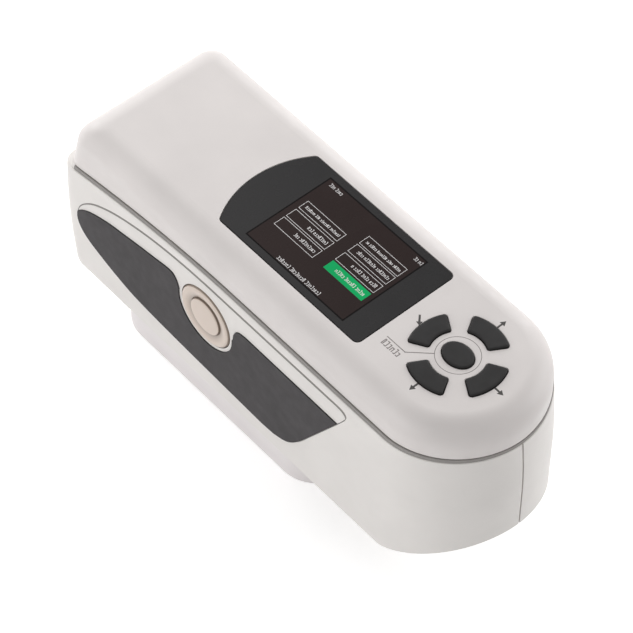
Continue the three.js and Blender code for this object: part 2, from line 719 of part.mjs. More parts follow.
// Heights that several pieces share
const coverUnderside = TOP_FACE - COVER_WALL;
const flangeTop = coverUnderside - GAP;
const flangeFoot = flangeTop - KEY_FLANGE_THICK;
const stemFoot = flangeFoot - KEY_STEM_LENGTH;
const matTop = stemFoot - KEY_TRAVEL - GAP;
const matFoot = matTop - MAT_THICK;
const keyBoardTop = matFoot - GAP;
const mainBoardTop = TOP_FACE - MAIN_BOARD_DROP;
const panelTop = coverUnderside - GAP;
const panelFoot = panelTop - PANEL_THICK;

const keyBoardRear = KEYPAD_X - KEY_BOARD_LENGTH / 2;
const keyBoardFront = KEYPAD_X + KEY_BOARD_LENGTH / 2;
const keyPostX = [keyBoardRear + BOARD_POST, keyBoardFront - KEY_POST_INSET];
const keyPostY = KEY_BOARD_HALF - BOARD_POST;

const caseScrews = [
  [CASE_SCREW_REAR, -CASE_SCREW_REAR_Y],
  [CASE_SCREW_REAR, CASE_SCREW_REAR_Y],
  [CASE_SCREW_FRONT, -CASE_SCREW_FRONT_Y],
  [CASE_SCREW_FRONT, CASE_SCREW_FRONT_Y],
];
const baseScrews = [FOOT_REAR + BASE_SCREW_INSET, FOOT_FRONT - BASE_SCREW_INSET].flatMap((x) =>
  [-1, 1].map((side) => [x, side * (FOOT_HALF - BASE_SCREW_INSET)]),
);
const batteryCoverFront = BATTERY_COVER_REAR + BATTERY_COVER_LENGTH;
const batteryScrews = [
  [BATTERY_COVER_REAR + BATTERY_LEDGE / 2, 0],
  [batteryCoverFront - BATTERY_LEDGE / 2, 0],
];

// Top cover
function topCover() {
  const low = CASE_BOSS_JOINT;
  let cover = loft(coverRings(0, low)).subtract(loft(coverRings(COVER_WALL, low - OVERRUN)));
  cover = cover.subtract(seamBlade(SEAM_OPENING / 2, low - OVERRUN));
  const pillars = [
    ...caseScrews.map(([x, y]) => barZ(x, y, CASE_BOSS, CASE_BOSS_JOINT + GAP, coverUnderside + WELD)),
    ...keyPostX.flatMap((x) =>
      [-1, 1].map((side) => barZ(x, side * keyPostY, BOARD_POST, keyBoardTop + GAP, coverUnderside + WELD)),
    ),
    ...[
      [MAIN_POST_REAR, MAIN_POST_REAR_Y],
      [MAIN_POST_FRONT, MAIN_POST_FRONT_Y],
    ].flatMap(([x, y]) =>
      [-1, 1].map((side) => barZ(x, side * y, BOARD_POST, mainBoardTop + GAP, coverUnderside + WELD)),
    ),
  ];
  cover = joined([cover, ...pillars]);
  cover = cover.subtract(prism(windowOutline(GAP), TOP_FACE - WINDOW_THICK - GAP, TOP_FACE + OVERRUN));
  cover = cover.subtract(
    block(SCREEN_REAR, SCREEN_FRONT, -SCREEN_HALF, SCREEN_HALF, coverUnderside - OVERRUN, TOP_FACE),
  );
  KEYS.forEach(({ outline }) => {
    cover = cover.subtract(prism(outline(GAP), coverUnderside - WELD, TOP_FACE + OVERRUN));
  });
  const hole = CASE_SCREW.shank + GAP;
  const depth = CASE_BOSS_JOINT + CASE_SCREW.length - CASE_SEAT + OVERRUN;
  caseScrews.forEach(([x, y]) => {
    cover = cover.subtract(barZ(x, y, hole, CASE_BOSS_JOINT - OVERRUN, depth));
  });
  [keyScrews, mainScrews].flat().forEach(([x, y, height]) => {
    cover = cover.subtract(barZ(x, y, SMALL_SCREW.shank + GAP, height, height + SMALL_SCREW.length));
  });
  return cover;
}

// Small screws hold the key board and the main board up against the cover's posts.
const keyBoardFoot = keyBoardTop - BOARD_THICK;
const mainBoardFoot = mainBoardTop - BOARD_THICK;
const keyScrews = [
  [keyPostX[0], -keyPostY, keyBoardTop],
  [keyPostX[1], keyPostY, keyBoardTop],
];
const mainScrews = [
  [MAIN_POST_REAR, -MAIN_POST_REAR_Y, mainBoardTop],
  [MAIN_POST_FRONT, MAIN_POST_FRONT_Y, mainBoardTop],
];

addPiece("top_cover", topCover(), FINISH.cover);

// Lower body, cut into a right and a left shell along its middle
function lowerBody() {
  const crown = SEAM_HEIGHT + OVERRUN;
  const slope = Math.atan2(CHIN_HEIGHT - BASE_HEIGHT, FRONT_END - CHIN_START);
  const outer = loft(shellRings(0, BASE_HEIGHT, crown)).subtract(chinWedge(BASE_HEIGHT, 0));
  const inner = loft(shellRings(SHELL_WALL, SHELL_FLOOR_TOP, crown + OVERRUN)).subtract(
    chinWedge(SHELL_FLOOR_TOP, SHELL_WALL / Math.cos(slope)),
  );
  const wide = SHELL_HALF + OVERRUN;
  const sillFoot = rearSeam - SILL_DEPTH;
  const sillBox = block(REAR_END - OVERRUN, REAR_END + SILL_LENGTH, -wide, wide, sillFoot, crown);
  const sill = outer.intersect(sillBox);
  let body = outer.subtract(inner).add(sill).subtract(seamBlade(-SEAM_OPENING / 2, crown + OVERRUN));
  const posts = caseScrews.map(([x, y]) => barZ(x, y, CASE_BOSS, SHELL_FLOOR_TOP - WELD, CASE_BOSS_JOINT));
  const nuts = baseScrews.map(([x, y]) =>
    barZ(x, y, BASE_BOSS, SHELL_FLOOR_TOP - WELD, BASE_HEIGHT + SHELL_BOSS_HEIGHT),
  );
  body = joined([body, ...posts, ...nuts]);
  const opening = roundedRectangle(
    FOOT_REAR + BASE_SCREW_INSET + BASE_BOSS,
    FOOT_FRONT - BASE_SCREW_INSET + BASE_BOSS,
    FOOT_HALF - FOOT_WALL - WELD,
    FOOT_CORNER - FOOT_WALL,
  );
  const well = prism(opening, BASE_HEIGHT - OVERRUN, SHELL_FLOOR_TOP + OVERRUN);
  const kept = joined(
    baseScrews.map(([x, y]) =>
      barZ(x, y, BASE_BOSS + GAP, BASE_HEIGHT - WELL_OVERRUN, SHELL_FLOOR_TOP + WELL_OVERRUN),
    ),
  );
  body = body.subtract(well.subtract(kept));
  caseScrews.forEach(([x, y]) => {
    body = body.subtract(barZ(x, y, CASE_SCREW.shank + GAP, BASE_HEIGHT, CASE_BOSS_JOINT + OVERRUN));
    const pit = barZ(x, y, CASE_SCREW.head + GAP, BASE_HEIGHT - OVERRUN, CASE_BOSS_JOINT - CASE_SEAT);
    body = body.subtract(pit);
  });
  baseScrews.forEach(([x, y]) => {
    const top = BASE_HEIGHT + SHELL_BOSS_HEIGHT + OVERRUN;
    body = body.subtract(barZ(x, y, BASE_SCREW.shank + GAP, BASE_HEIGHT - OVERRUN, top));
  });
  return body;
}

const socketFace = REAR_END + SOCKET_RECESS;
const socketBoardTop = SOCKET_BOARD_HEIGHT + BOARD_THICK;
const socketFoot = socketBoardTop + GAP;

// What only one of the two shells has; side is -1 on the right, which is -Y, and 1 on the left.
function halfShell(body, side) {
  const wide = SHELL_HALF + OVERRUN;
  const near = side < 0 ? -wide : GAP / 2;
  const far = side < 0 ? -GAP / 2 : wide;
  const tall = TOP_FACE + OVERRUN;
  let half = body.intersect(block(REAR_END - OVERRUN, FRONT_END + OVERRUN, near, far, 0, tall));
  const floor = SHELL_HALF - PANEL_POCKET;
  const pocket = [side * floor, side * (SHELL_HALF + OVERRUN)].sort((a, b) => a - b);
  half = half.subtract(sidePrism(leafOutline, ...pocket));
  const ledge = [side * LEDGE_INNER, side * (SHELL_INNER + WELD)].sort((a, b) => a - b);
  const ledgeTop = SOCKET_BOARD_HEIGHT - GAP;
  const ledgeRear = REAR_END + SHELL_WALL - WELD;
  half = half.add(block(ledgeRear, ledgeRear + LEDGE_LENGTH, ...ledge, ledgeTop - LEDGE_THICK, ledgeTop));
  return half;
}

function rightShell(body) {
  let shell = halfShell(body, -1);
  const posts = [-1, 1].map((side) =>
    barY(
      BUTTON_X + side * BRACKET_POST_SPACING,
      BUTTON_Z,
      BOARD_POST,
      -SHELL_INNER - WELD,
      bracketFace - GAP,
    ),
  );
  shell = joined([shell, ...posts]);
  const hole = BUTTON_RADIUS + BUTTON_CLEARANCE;
  shell = shell.subtract(
    barY(BUTTON_X, BUTTON_Z, hole, -SHELL_HALF - OVERRUN, -SHELL_INNER + OVERRUN, ROUND_STEPS),
  );
  return shell.subtract(
    block(
      REAR_END - OVERRUN,
      REAR_END + SHELL_WALL + OVERRUN,
      USB_Y - USB_WIDTH / 2 - GAP,
      USB_Y + USB_WIDTH / 2 + GAP,
      socketFoot - GAP,
      socketFoot + USB_HEIGHT + GAP,
    ),
  );
}

function leftShell(body) {
  return halfShell(body, 1).subtract(
    block(
      REAR_END - OVERRUN,
      REAR_END + SHELL_WALL + OVERRUN,
      JACK_Y - JACK_WIDTH / 2 - GAP,
      JACK_Y + JACK_WIDTH / 2 + GAP,
      socketFoot - GAP,
      socketFoot + JACK_HEIGHT + GAP,
    ),
  );
}

// Test button: distances across the body, from the cap's outer face inwards
const buttonFace = -SHELL_HALF - BUTTON_PROUD;
const buttonFlangeNear = -SHELL_INNER + GAP;
const buttonFlangeFar = buttonFlangeNear + BUTTON_FLANGE_THICK;
const buttonStemEnd = buttonFlangeFar + BUTTON_STEM_LENGTH;
const plungerNear = buttonStemEnd + GAP;
const plungerFar = plungerNear + PLUNGER_LENGTH;
const switchNear = plungerNear + PLUNGER_SHOWN;
const switchFar = switchNear + SWITCH_DEPTH;
const bracketFace = switchFar + GAP;

function testButton() {
  const rim = BUTTON_RADIUS;
  const disc = BUTTON_DISC;
  const deep = -buttonFace;
  const profile = [
    [0, -buttonStemEnd],
    [BUTTON_STEM, -buttonStemEnd],
    [BUTTON_STEM, -buttonFlangeFar],
    [rim + BUTTON_FLANGE, -buttonFlangeFar],
    [rim + BUTTON_FLANGE, -buttonFlangeNear],
    [rim, -buttonFlangeNear],
    [rim, deep - BUTTON_EDGE_DROP],
    [rim - BUTTON_EDGE, deep - BUTTON_SHOULDER_DROP],
    [rim - BUTTON_CREST, deep],
    [disc + BUTTON_FOOT_WIDTH, deep - BUTTON_FOOT_DROP],
    [disc, deep - BUTTON_FOOT_DROP],
    [disc, deep - BUTTON_DISC_DROP],
    [0, deep],
  ];
  const points = profile.map(([r, h]) => new THREE.Vector2(r, h));
  const geometry = new THREE.LatheGeometry(points, ROUND_STEPS);
  return solidFrom(geometry.rotateX(Math.PI).translate(BUTTON_X, 0, BUTTON_Z));
}

const body = lowerBody();
addPiece("shell_right", rightShell(body), FINISH.shell);
addPiece("shell_left", leftShell(body), FINISH.shell);

// Gasket
const gasketHalf = SEAM_OPENING / 2 - GAP;
const gasketRings = (outline) => [rearSeam - SEAM_DIP, TOP_FACE].map((height) => ringAt(outline, height));
const shellEdge = shellOutline(0, SEAM_HEIGHT);
const gasketEdge = coverOutline(0, rearSeam).map(([x, y], i) => [
  (x + shellEdge[i][0]) / 2,
  (y + shellEdge[i][1]) / 2,
]);
const gasket = loft(gasketRings(gasketEdge))
  .subtract(loft(gasketRings(coverOutline(GASKET_DEPTH, rearSeam))))
  .subtract(seamBlade(gasketHalf, TOP_FACE + OVERRUN))
  .subtract(seamBlade(-gasketHalf, BASE_HEIGHT));
addPiece("seam_gasket", gasket, FINISH.gasket);

// Display
const windowFoot = TOP_FACE - WINDOW_THICK;
addPiece("display_window", prism(windowOutline(0), windowFoot, TOP_FACE), FINISH.window);
const panelRear = SCREEN_REAR - PANEL_MARGIN;
const panelFront = SCREEN_FRONT + PANEL_MARGIN + PANEL_TAIL;
const panelHalf = SCREEN_HALF + PANEL_MARGIN;
const displayPanel = block(panelRear, panelFront, -panelHalf, panelHalf, panelFoot, panelTop);
addPiece("display_panel", displayPanel, FINISH.screen);
const frameTop = panelFoot - GAP;
const frameFoot = mainBoardTop + GAP;
const displayFrame = block(panelRear, panelFront, -panelHalf, panelHalf, frameFoot, frameTop).subtract(
  block(
    panelRear + FRAME_WALL,
    panelFront - FRAME_WALL,
    -panelHalf + FRAME_WALL,
    panelHalf - FRAME_WALL,
    frameFoot - OVERRUN,
    frameTop + OVERRUN,
  ),
);
addPiece("display_frame", displayFrame, FINISH.black);

// Keys, the mat under them and the key board
KEYS.forEach(({ name, outline, stem }) => {
  const [x, y] = stem;
  const cap = prism(outline(0), flangeFoot, TOP_FACE + KEY_RISE);
  const flange = prism(outline(KEY_FLANGE), flangeFoot, flangeTop);
  addPiece(name, joined([cap, flange, barZ(x, y, KEY_STEM, stemFoot, flangeFoot + WELD)]), FINISH.key);
});
addPiece("key_mat", barZ(KEYPAD_X, 0, MAT_RADIUS, matFoot, matTop, ROUND_STEPS), FINISH.grip);
let keyBoard = block(keyBoardRear, keyBoardFront, -KEY_BOARD_HALF, KEY_BOARD_HALF, keyBoardFoot, keyBoardTop);
let mainBoard = block(
  MAIN_BOARD_REAR,
  MAIN_BOARD_FRONT,
  -MAIN_BOARD_HALF,
  MAIN_BOARD_HALF,
  mainBoardFoot,
  mainBoardTop,
);
keyScrews.forEach(([x, y, height], i) => {
  const foot = height - BOARD_THICK - GAP - SMALL_SCREW.headHeight;
  keyBoard = keyBoard.subtract(barZ(x, y, SMALL_SCREW.shank + GAP, foot, height + OVERRUN));
  const made = screw({ ...SMALL_SCREW, length: KEY_SCREW_LENGTH }, x, y, foot);
  addPiece(`key_board_screw_${i + 1}`, made, FINISH.steel);
});
mainScrews.forEach(([x, y, height], i) => {
  const foot = height - BOARD_THICK - GAP - SMALL_SCREW.headHeight;
  mainBoard = mainBoard.subtract(barZ(x, y, SMALL_SCREW.shank + GAP, foot, height + OVERRUN));
  const made = screw({ ...SMALL_SCREW, length: KEY_SCREW_LENGTH }, x, y, foot);
  addPiece(`main_board_screw_${i + 1}`, made, FINISH.steel);
});
addPiece("key_board", keyBoard, FINISH.board);
addPiece("main_board", mainBoard, FINISH.board);
const processorTop = mainBoardFoot - GAP;
const processorReach = PROCESSOR_SIZE / 2;
const processor = block(
  PROCESSOR_X - processorReach,
  PROCESSOR_X + processorReach,
  -processorReach,
  processorReach,
  processorTop - PROCESSOR_THICK,
  processorTop,
);
addPiece("processor", processor, FINISH.chip);

// Side panels and grip pads, in the shells' pockets
[
  ["right", -1],
  ["left", 1],
].forEach(([word, side]) => {
  const withButton = side < 0;
  const across = (a, b) => [side * a, side * b].sort((p, q) => p - q);
  const seat = SHELL_HALF - PANEL_POCKET + GAP;
  const far = SHELL_HALF + OVERRUN;
  const cut = sidePrism(gripRegion(withButton, GAP), ...across(seat - OVERRUN, far));
  let panel = sidePrism(grown(leafOutline, -GROOVE), ...across(seat, SHELL_HALF)).subtract(cut);
  if (withButton) {
    const hole = BUTTON_RADIUS + BUTTON_CLEARANCE;
    const collar = BUTTON_RADIUS + COLLAR_WIDTH - GAP;
    panel = panel
      .add(barY(BUTTON_X, BUTTON_Z, collar, ...across(seat, SHELL_HALF + COLLAR_PROUD), ROUND_STEPS))
      .subtract(barY(BUTTON_X, BUTTON_Z, hole, ...across(seat - OVERRUN, far), ROUND_STEPS));
  }
  addPiece(`side_panel_${word}`, panel, FINISH.shell);
  const pad = sidePrism(grown(leafOutline, -GAP), ...across(seat, SHELL_HALF + GRIP_PROUD)).intersect(
    sidePrism(gripRegion(withButton, 0), ...across(seat - OVERRUN, far)),
  );
  addPiece(`grip_pad_${word}`, pad, FINISH.grip);
});

// Test button and its switch
addPiece("test_button", testButton(), FINISH.button);
addPiece("switch_plunger", barY(BUTTON_X, BUTTON_Z, PLUNGER_RADIUS, plungerNear, plungerFar), FINISH.black);
const switchReach = SWITCH_SIZE / 2;
const switchBody = block(
  BUTTON_X - switchReach,
  BUTTON_X + switchReach,
  switchNear,
  switchFar,
  BUTTON_Z - switchReach,
  BUTTON_Z + switchReach,
).subtract(
  barY(
    BUTTON_X,
    BUTTON_Z,
    PLUNGER_RADIUS + GAP,
    switchNear - OVERRUN,
    plungerFar + BUTTON_TRAVEL + GAP,
  ),
);
addPiece("test_switch", switchBody, FINISH.chip);
const bracketReach = BRACKET_POST_SPACING + BRACKET_MARGIN;
const bracket = block(
  BUTTON_X - bracketReach,
  BUTTON_X + bracketReach,
  bracketFace,
  bracketFace + BRACKET_THICK,
  BUTTON_Z - BRACKET_HEIGHT / 2,
  BUTTON_Z + BRACKET_HEIGHT / 2,
);
addPiece("switch_bracket", bracket, FINISH.steel);

// Base block with the measuring port and the battery bay in its floor
const footTop = BASE_HEIGHT - GAP;
function footRings(wall, floor, edge) {
  const outline = (inset) =>
    roundedRectangle(
      FOOT_REAR + inset,
      FOOT_FRONT - inset,
      FOOT_HALF - inset,
      FOOT_CORNER - inset,
      FOOT_CORNER_STEPS,
    );
  return [
    ringAt(outline(wall + edge), floor),
    ringAt(outline(wall), floor + edge),
    ringAt(outline(wall), wall > 0 ? footTop + OVERRUN : footTop),
  ];
}

const batteryRecess = (distance) =>
  roundedRectangle(
    BATTERY_COVER_REAR - distance,
    batteryCoverFront + distance,
    BATTERY_COVER_HALF + distance,
    BATTERY_COVER_CORNER + distance,
  );

function baseBlock() {
  let foot = loft(footRings(0, 0, FOOT_EDGE)).subtract(loft(footRings(FOOT_WALL, FOOT_FLOOR, FOOT_EDGE)));
  const posts = baseScrews.map(([x, y]) => barZ(x, y, BASE_BOSS, FOOT_FLOOR - WELD, footTop));
  const nutFoot = FOOT_FLOOR - WELD;
  const nutTop = FOOT_FLOOR + SMALL_BOSS_HEIGHT;
  const nuts = batteryScrews.map(([x, y]) => barZ(x, y, SMALL_BOSS, nutFoot, nutTop));
  foot = joined([foot, ...posts, ...nuts]);
  foot = foot.subtract(prism(batteryRecess(GAP), -OVERRUN, BATTERY_COVER_THICK + GAP));
  foot = foot.subtract(
    block(
      BATTERY_COVER_REAR + BATTERY_LEDGE,
      batteryCoverFront - BATTERY_LEDGE,
      -BATTERY_COVER_HALF + BATTERY_SIDE_LEDGE,
      BATTERY_COVER_HALF - BATTERY_SIDE_LEDGE,
      -OVERRUN,
      FOOT_FLOOR + OVERRUN,
    ),
  );
  foot = foot.subtract(barZ(OPTIC_X, 0, PORT_RING + GAP, -OVERRUN, FOOT_FLOOR + OVERRUN, ROUND_STEPS));
  baseScrews.forEach(([x, y]) => {
    foot = foot.subtract(barZ(x, y, BASE_SCREW.shank + GAP, -OVERRUN, footTop + OVERRUN));
    foot = foot.subtract(barZ(x, y, BASE_SCREW.head + GAP, -OVERRUN, footTop - BASE_SEAT));
  });
  batteryScrews.forEach(([x, y]) => {
    const top = FOOT_FLOOR + SMALL_BOSS_HEIGHT + OVERRUN;
    foot = foot.subtract(barZ(x, y, SMALL_SCREW.shank + GAP, -OVERRUN, top));
  });
  return foot;
}
addPiece("base_block", baseBlock(), FINISH.foot);

let batteryCover = prism(batteryRecess(0), 0, BATTERY_COVER_THICK);
batteryScrews.forEach(([x, y], i) => {
  batteryCover = batteryCover
    .subtract(barZ(x, y, SMALL_SCREW.shank + GAP, -OVERRUN, BATTERY_COVER_THICK + OVERRUN))
    .subtract(barZ(x, y, SMALL_SCREW.head + GAP, -OVERRUN, FLAT_HEAD_HEIGHT + HEAD_SINK));
  const made = screw({ ...SMALL_SCREW, headHeight: FLAT_HEAD_HEIGHT }, x, y, GAP);
  addPiece(`battery_screw_${i + 1}`, made, FINISH.steel);
});
addPiece("battery_cover", batteryCover, FINISH.foot);
const batteryMiddle = (BATTERY_COVER_REAR + batteryCoverFront) / 2;
const batteryFoot = FOOT_FLOOR + SMALL_BOSS_HEIGHT + GAP;
const batteryPack = prism(
  roundedRectangle(
    batteryMiddle - BATTERY_LENGTH / 2,
    batteryMiddle + BATTERY_LENGTH / 2,
    BATTERY_HALF,
    BATTERY_COVER_CORNER,
  ),
  batteryFoot,
  batteryFoot + BATTERY_HEIGHT,
);
addPiece("battery_pack", batteryPack, FINISH.cell);

// Optical head
const portTop = FOOT_FLOOR + GAP + PORT_FLANGE_THICK;
const portRing = turned([
  [PORT_RADIUS + PORT_FLARE, 0],
  [PORT_RING, 0],
  [PORT_RING, FOOT_FLOOR + GAP],
  [PORT_RING + PORT_FLANGE, FOOT_FLOOR + GAP],
  [PORT_RING + PORT_FLANGE, portTop],
  [PORT_RADIUS, portTop],
  [PORT_RADIUS, PORT_FLARE_DEPTH],
  [PORT_RADIUS + PORT_FLARE, 0],
]).translate([OPTIC_X, 0, 0]);
addPiece("measuring_port_ring", portRing, FINISH.black);

// Half of the integrating sphere's wall, from its end port to its joint, as a closed profile.
function sphereProfile(side, port, joint) {
  const outer = SPHERE_INNER + SPHERE_WALL;
  const ports = [Math.asin(port / outer), Math.asin(port / SPHERE_INNER)];
  const joints = [Math.acos(joint / outer), Math.acos(joint / SPHERE_INNER)];
  const sweep = (radius, from, to) =>
    Array.from({ length: SPHERE_STEPS + 1 }, (_, i) => {
      const angle = THREE.MathUtils.lerp(from, to, i / SPHERE_STEPS);
      return [radius * Math.sin(angle), SPHERE_HEIGHT + side * radius * Math.cos(angle)];
    });
  const wall = [...sweep(outer, ports[0], joints[0]), ...sweep(SPHERE_INNER, joints[1], ports[1])];
  const closed = [...wall, wall[0]];
  return side < 0 ? closed : closed.reverse();
}

const sphereLowerPlate = block(
  -SPHERE_PLATE_LENGTH / 2,
  SPHERE_PLATE_LENGTH / 2,
  -SPHERE_PLATE_HALF,
  SPHERE_PLATE_HALF,
  SPHERE_HEIGHT - SPHERE_FLANGE_THICK,
  SPHERE_HEIGHT,
).subtract(
  barZ(
    0,
    0,
    SPHERE_INNER + SPHERE_WALL / 2,
    SPHERE_HEIGHT - SPHERE_FLANGE_THICK - OVERRUN,
    SPHERE_HEIGHT + OVERRUN,
    SPHERE_ROUND,
  ),
);
const sphereLower = turned(sphereProfile(-1, SPHERE_PORT, 0), SPHERE_ROUND).add(sphereLowerPlate);
addPiece("sphere_lower", sphereLower.translate([OPTIC_X, 0, 0]), FINISH.white);

// A solid built along Z is tilted about the sample's centre on to the detector's axis.
function tilted(solid) {
  return solid.rotate([0, VIEW_TILT, 0]);
}

const sphereTop = SPHERE_HEIGHT + SPHERE_INNER + SPHERE_WALL;
const lightBoardFoot = sphereTop + SEAT_RISE;
function sphereUpper() {
  const joint = SPHERE_HEIGHT + GAP;
  const wall = turned(sphereProfile(1, SPHERE_PORT, GAP), SPHERE_ROUND);
  const flange = barZ(0, 0, SPHERE_FLANGE, joint, joint + SPHERE_FLANGE_THICK, SPHERE_ROUND).subtract(
    barZ(
      0,
      0,
      SPHERE_INNER + SPHERE_WALL / 2,
      joint - OVERRUN,
      joint + SPHERE_FLANGE_THICK + OVERRUN,
      SPHERE_ROUND,
    ),
  );
  const seat = barZ(0, 0, SEAT_RADIUS, sphereTop - SPHERE_WALL, lightBoardFoot - GAP, SPHERE_ROUND);
  let upper = joined([wall, flange, seat]);
  upper = upper.subtract(
    tilted(barZ(0, 0, TUBE_RADIUS + GAP, SPHERE_HEIGHT, TUBE_FOOT + TUBE_LENGTH, ROUND_STEPS / 2)),
  );
  lamps.forEach(([x, y]) => {
    upper = upper.subtract(barZ(x, y, LED_RADIUS + GAP, SPHERE_HEIGHT + SPHERE_FLANGE_THICK, sphereTop));
  });
  return upper;
}
const lamps = Array.from({ length: LED_COUNT }, (_, i) => {
  const angle = Math.PI + (2 * Math.PI * i) / LED_COUNT;
  return [LED_RING * Math.cos(angle), LED_RING * Math.sin(angle)];
});
addPiece("sphere_upper", sphereUpper().translate([OPTIC_X, 0, 0]), FINISH.white);
const lightBoardTop = lightBoardFoot + BOARD_THICK;
const lightBoard = barZ(0, 0, LIGHT_BOARD_RADIUS, lightBoardFoot, lightBoardTop, ROUND_STEPS).subtract(
  tilted(barZ(0, 0, TUBE_RADIUS + GAP, TUBE_FOOT, TUBE_FOOT + TUBE_LENGTH, ROUND_STEPS / 2)),
);
addPiece("light_board", lightBoard.translate([OPTIC_X, 0, 0]), FINISH.board);
const lampFoot = SPHERE_HEIGHT + Math.sqrt(SPHERE_INNER ** 2 - LED_RING ** 2) + LED_REACH;
lamps.forEach(([x, y], i) => {
  addPiece(`lamp_${i + 1}`, barZ(OPTIC_X + x, y, LED_RADIUS, lampFoot, lightBoardFoot - GAP), FINISH.lamp);
});
const tubeEnd = TUBE_FOOT + TUBE_LENGTH;
const tube = barZ(0, 0, TUBE_RADIUS, TUBE_FOOT, tubeEnd, ROUND_STEPS / 2).subtract(
  barZ(0, 0, TUBE_BORE, TUBE_FOOT - OVERRUN, tubeEnd + OVERRUN, ROUND_STEPS / 2),
);
addPiece("detector_tube", tilted(tube).translate([OPTIC_X, 0, 0]), FINISH.black);
const lensFoot = TUBE_FOOT + LENS_PLACE;
const lens = barZ(0, 0, TUBE_BORE - GAP, lensFoot, lensFoot + LENS_THICK, ROUND_STEPS / 2);
addPiece("detector_lens", tilted(lens).translate([OPTIC_X, 0, 0]), FINISH.glass);
const sensorBoardFoot = tubeEnd + GAP;
const sensorReach = SENSOR_BOARD_SIZE / 2;
const sensorBoard = block(
  -sensorReach,
  sensorReach,
  -sensorReach,
  sensorReach,
  sensorBoardFoot,
  sensorBoardFoot + BOARD_THICK,
);
addPiece("sensor_board", tilted(sensorBoard).translate([OPTIC_X, 0, 0]), FINISH.board);
const sensorTop = sensorBoardFoot - GAP;
const sensor = block(
  -SENSOR_SIZE / 2,
  SENSOR_SIZE / 2,
  -SENSOR_SIZE / 2,
  SENSOR_SIZE / 2,
  sensorTop - SENSOR_THICK,
  sensorTop,
);
addPiece("colour_sensor", tilted(sensor).translate([OPTIC_X, 0, 0]), FINISH.chip);

// Rear sockets
const socketBoardRear = REAR_END + SHELL_WALL + SOCKET_BOARD_SETBACK;
const socketBoard = block(
  socketBoardRear,
  socketBoardRear + SOCKET_BOARD_LENGTH,
  -SOCKET_BOARD_HALF,
  SOCKET_BOARD_HALF,
  SOCKET_BOARD_HEIGHT,
  socketBoardTop,
);
addPiece("socket_board", socketBoard, FINISH.board);
const usbMiddle = socketFoot + USB_HEIGHT / 2;
const usbShell = block(
  socketFace,
  socketFace + USB_DEPTH,
  USB_Y - USB_WIDTH / 2,
  USB_Y + USB_WIDTH / 2,
  socketFoot,
  socketFoot + USB_HEIGHT,
).subtract(
  block(
    socketFace - OVERRUN,
    socketFace + USB_MOUTH_DEPTH,
    USB_Y - USB_WIDTH / 2 + USB_RIM,
    USB_Y + USB_WIDTH / 2 - USB_RIM,
    socketFoot + USB_RIM,
    socketFoot + USB_HEIGHT - USB_RIM,
  ),
);
const usbTongue = block(
  socketFace + USB_TONGUE_SETBACK,
  socketFace + USB_MOUTH_DEPTH + WELD,
  USB_Y - USB_TONGUE_WIDTH / 2,
  USB_Y + USB_TONGUE_WIDTH / 2,
  usbMiddle - USB_TONGUE_THICK / 2,
  usbMiddle + USB_TONGUE_THICK / 2,
);
addPiece("data_socket", usbShell.add(usbTongue), FINISH.steel);
const jackMiddle = socketFoot + JACK_HEIGHT / 2;
const jackBore = barX(
  JACK_Y,
  jackMiddle,
  JACK_BORE,
  socketFace - OVERRUN,
  socketFace + JACK_MOUTH_DEPTH,
  ROUND_STEPS / 2,
);
const jackShell = block(
  socketFace,
  socketFace + JACK_DEPTH,
  JACK_Y - JACK_WIDTH / 2,
  JACK_Y + JACK_WIDTH / 2,
  socketFoot,
  socketFoot + JACK_HEIGHT,
).subtract(jackBore);
const jackPin = barX(
  JACK_Y,
  jackMiddle,
  JACK_PIN,
  socketFace + JACK_PIN_SETBACK,
  socketFace + JACK_MOUTH_DEPTH + WELD,
);
addPiece("charging_jack", jackShell.add(jackPin), FINISH.black);

// Case and base screws
caseScrews.forEach(([x, y], i) => {
  const foot = CASE_BOSS_JOINT - CASE_SEAT - GAP - CASE_SCREW.headHeight;
  addPiece(`case_screw_${i + 1}`, screw(CASE_SCREW, x, y, foot), FINISH.steel);
});
baseScrews.forEach(([x, y], i) => {
  const foot = footTop - BASE_SEAT - GAP - BASE_SCREW.headHeight;
  addPiece(`base_screw_${i + 1}`, screw(BASE_SCREW, x, y, foot), FINISH.steel);
});

export default root;
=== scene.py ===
"""Portable colorimeter: finer shells, keys and button, the display's picture, prints, finishes and light.

Lengths are written in millimetres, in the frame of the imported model. A mesh gets them in metres.
"""

import math

import bmesh
import bpy
from mathutils import Matrix, Vector
from mathutils.geometry import tessellate_polygon


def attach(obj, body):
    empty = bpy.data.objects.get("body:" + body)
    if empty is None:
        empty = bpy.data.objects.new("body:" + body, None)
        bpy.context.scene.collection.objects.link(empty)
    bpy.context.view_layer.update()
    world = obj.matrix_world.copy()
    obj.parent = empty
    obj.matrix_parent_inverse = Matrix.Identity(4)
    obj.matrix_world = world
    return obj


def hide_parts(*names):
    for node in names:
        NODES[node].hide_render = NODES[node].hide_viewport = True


MM = 0.001
GAP = 0.3

# Points closer than this, in metres, become one
MERGE = 1e-7

# How far the tools of a cut reach
OVERRUN, FAR_OVERRUN = 2.0, 3.0
TOOL_X, TOOL_HALF, TOOL_FOOT, TOOL_TOP = 110.0, 40.0, -20.0, 120.0

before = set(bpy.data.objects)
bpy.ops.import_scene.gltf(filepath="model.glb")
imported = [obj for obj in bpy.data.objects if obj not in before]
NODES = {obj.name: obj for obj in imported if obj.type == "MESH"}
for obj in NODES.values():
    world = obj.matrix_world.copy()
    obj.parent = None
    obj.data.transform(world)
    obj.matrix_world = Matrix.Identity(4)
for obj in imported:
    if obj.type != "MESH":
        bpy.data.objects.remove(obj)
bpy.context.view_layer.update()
SCENE = bpy.context.scene

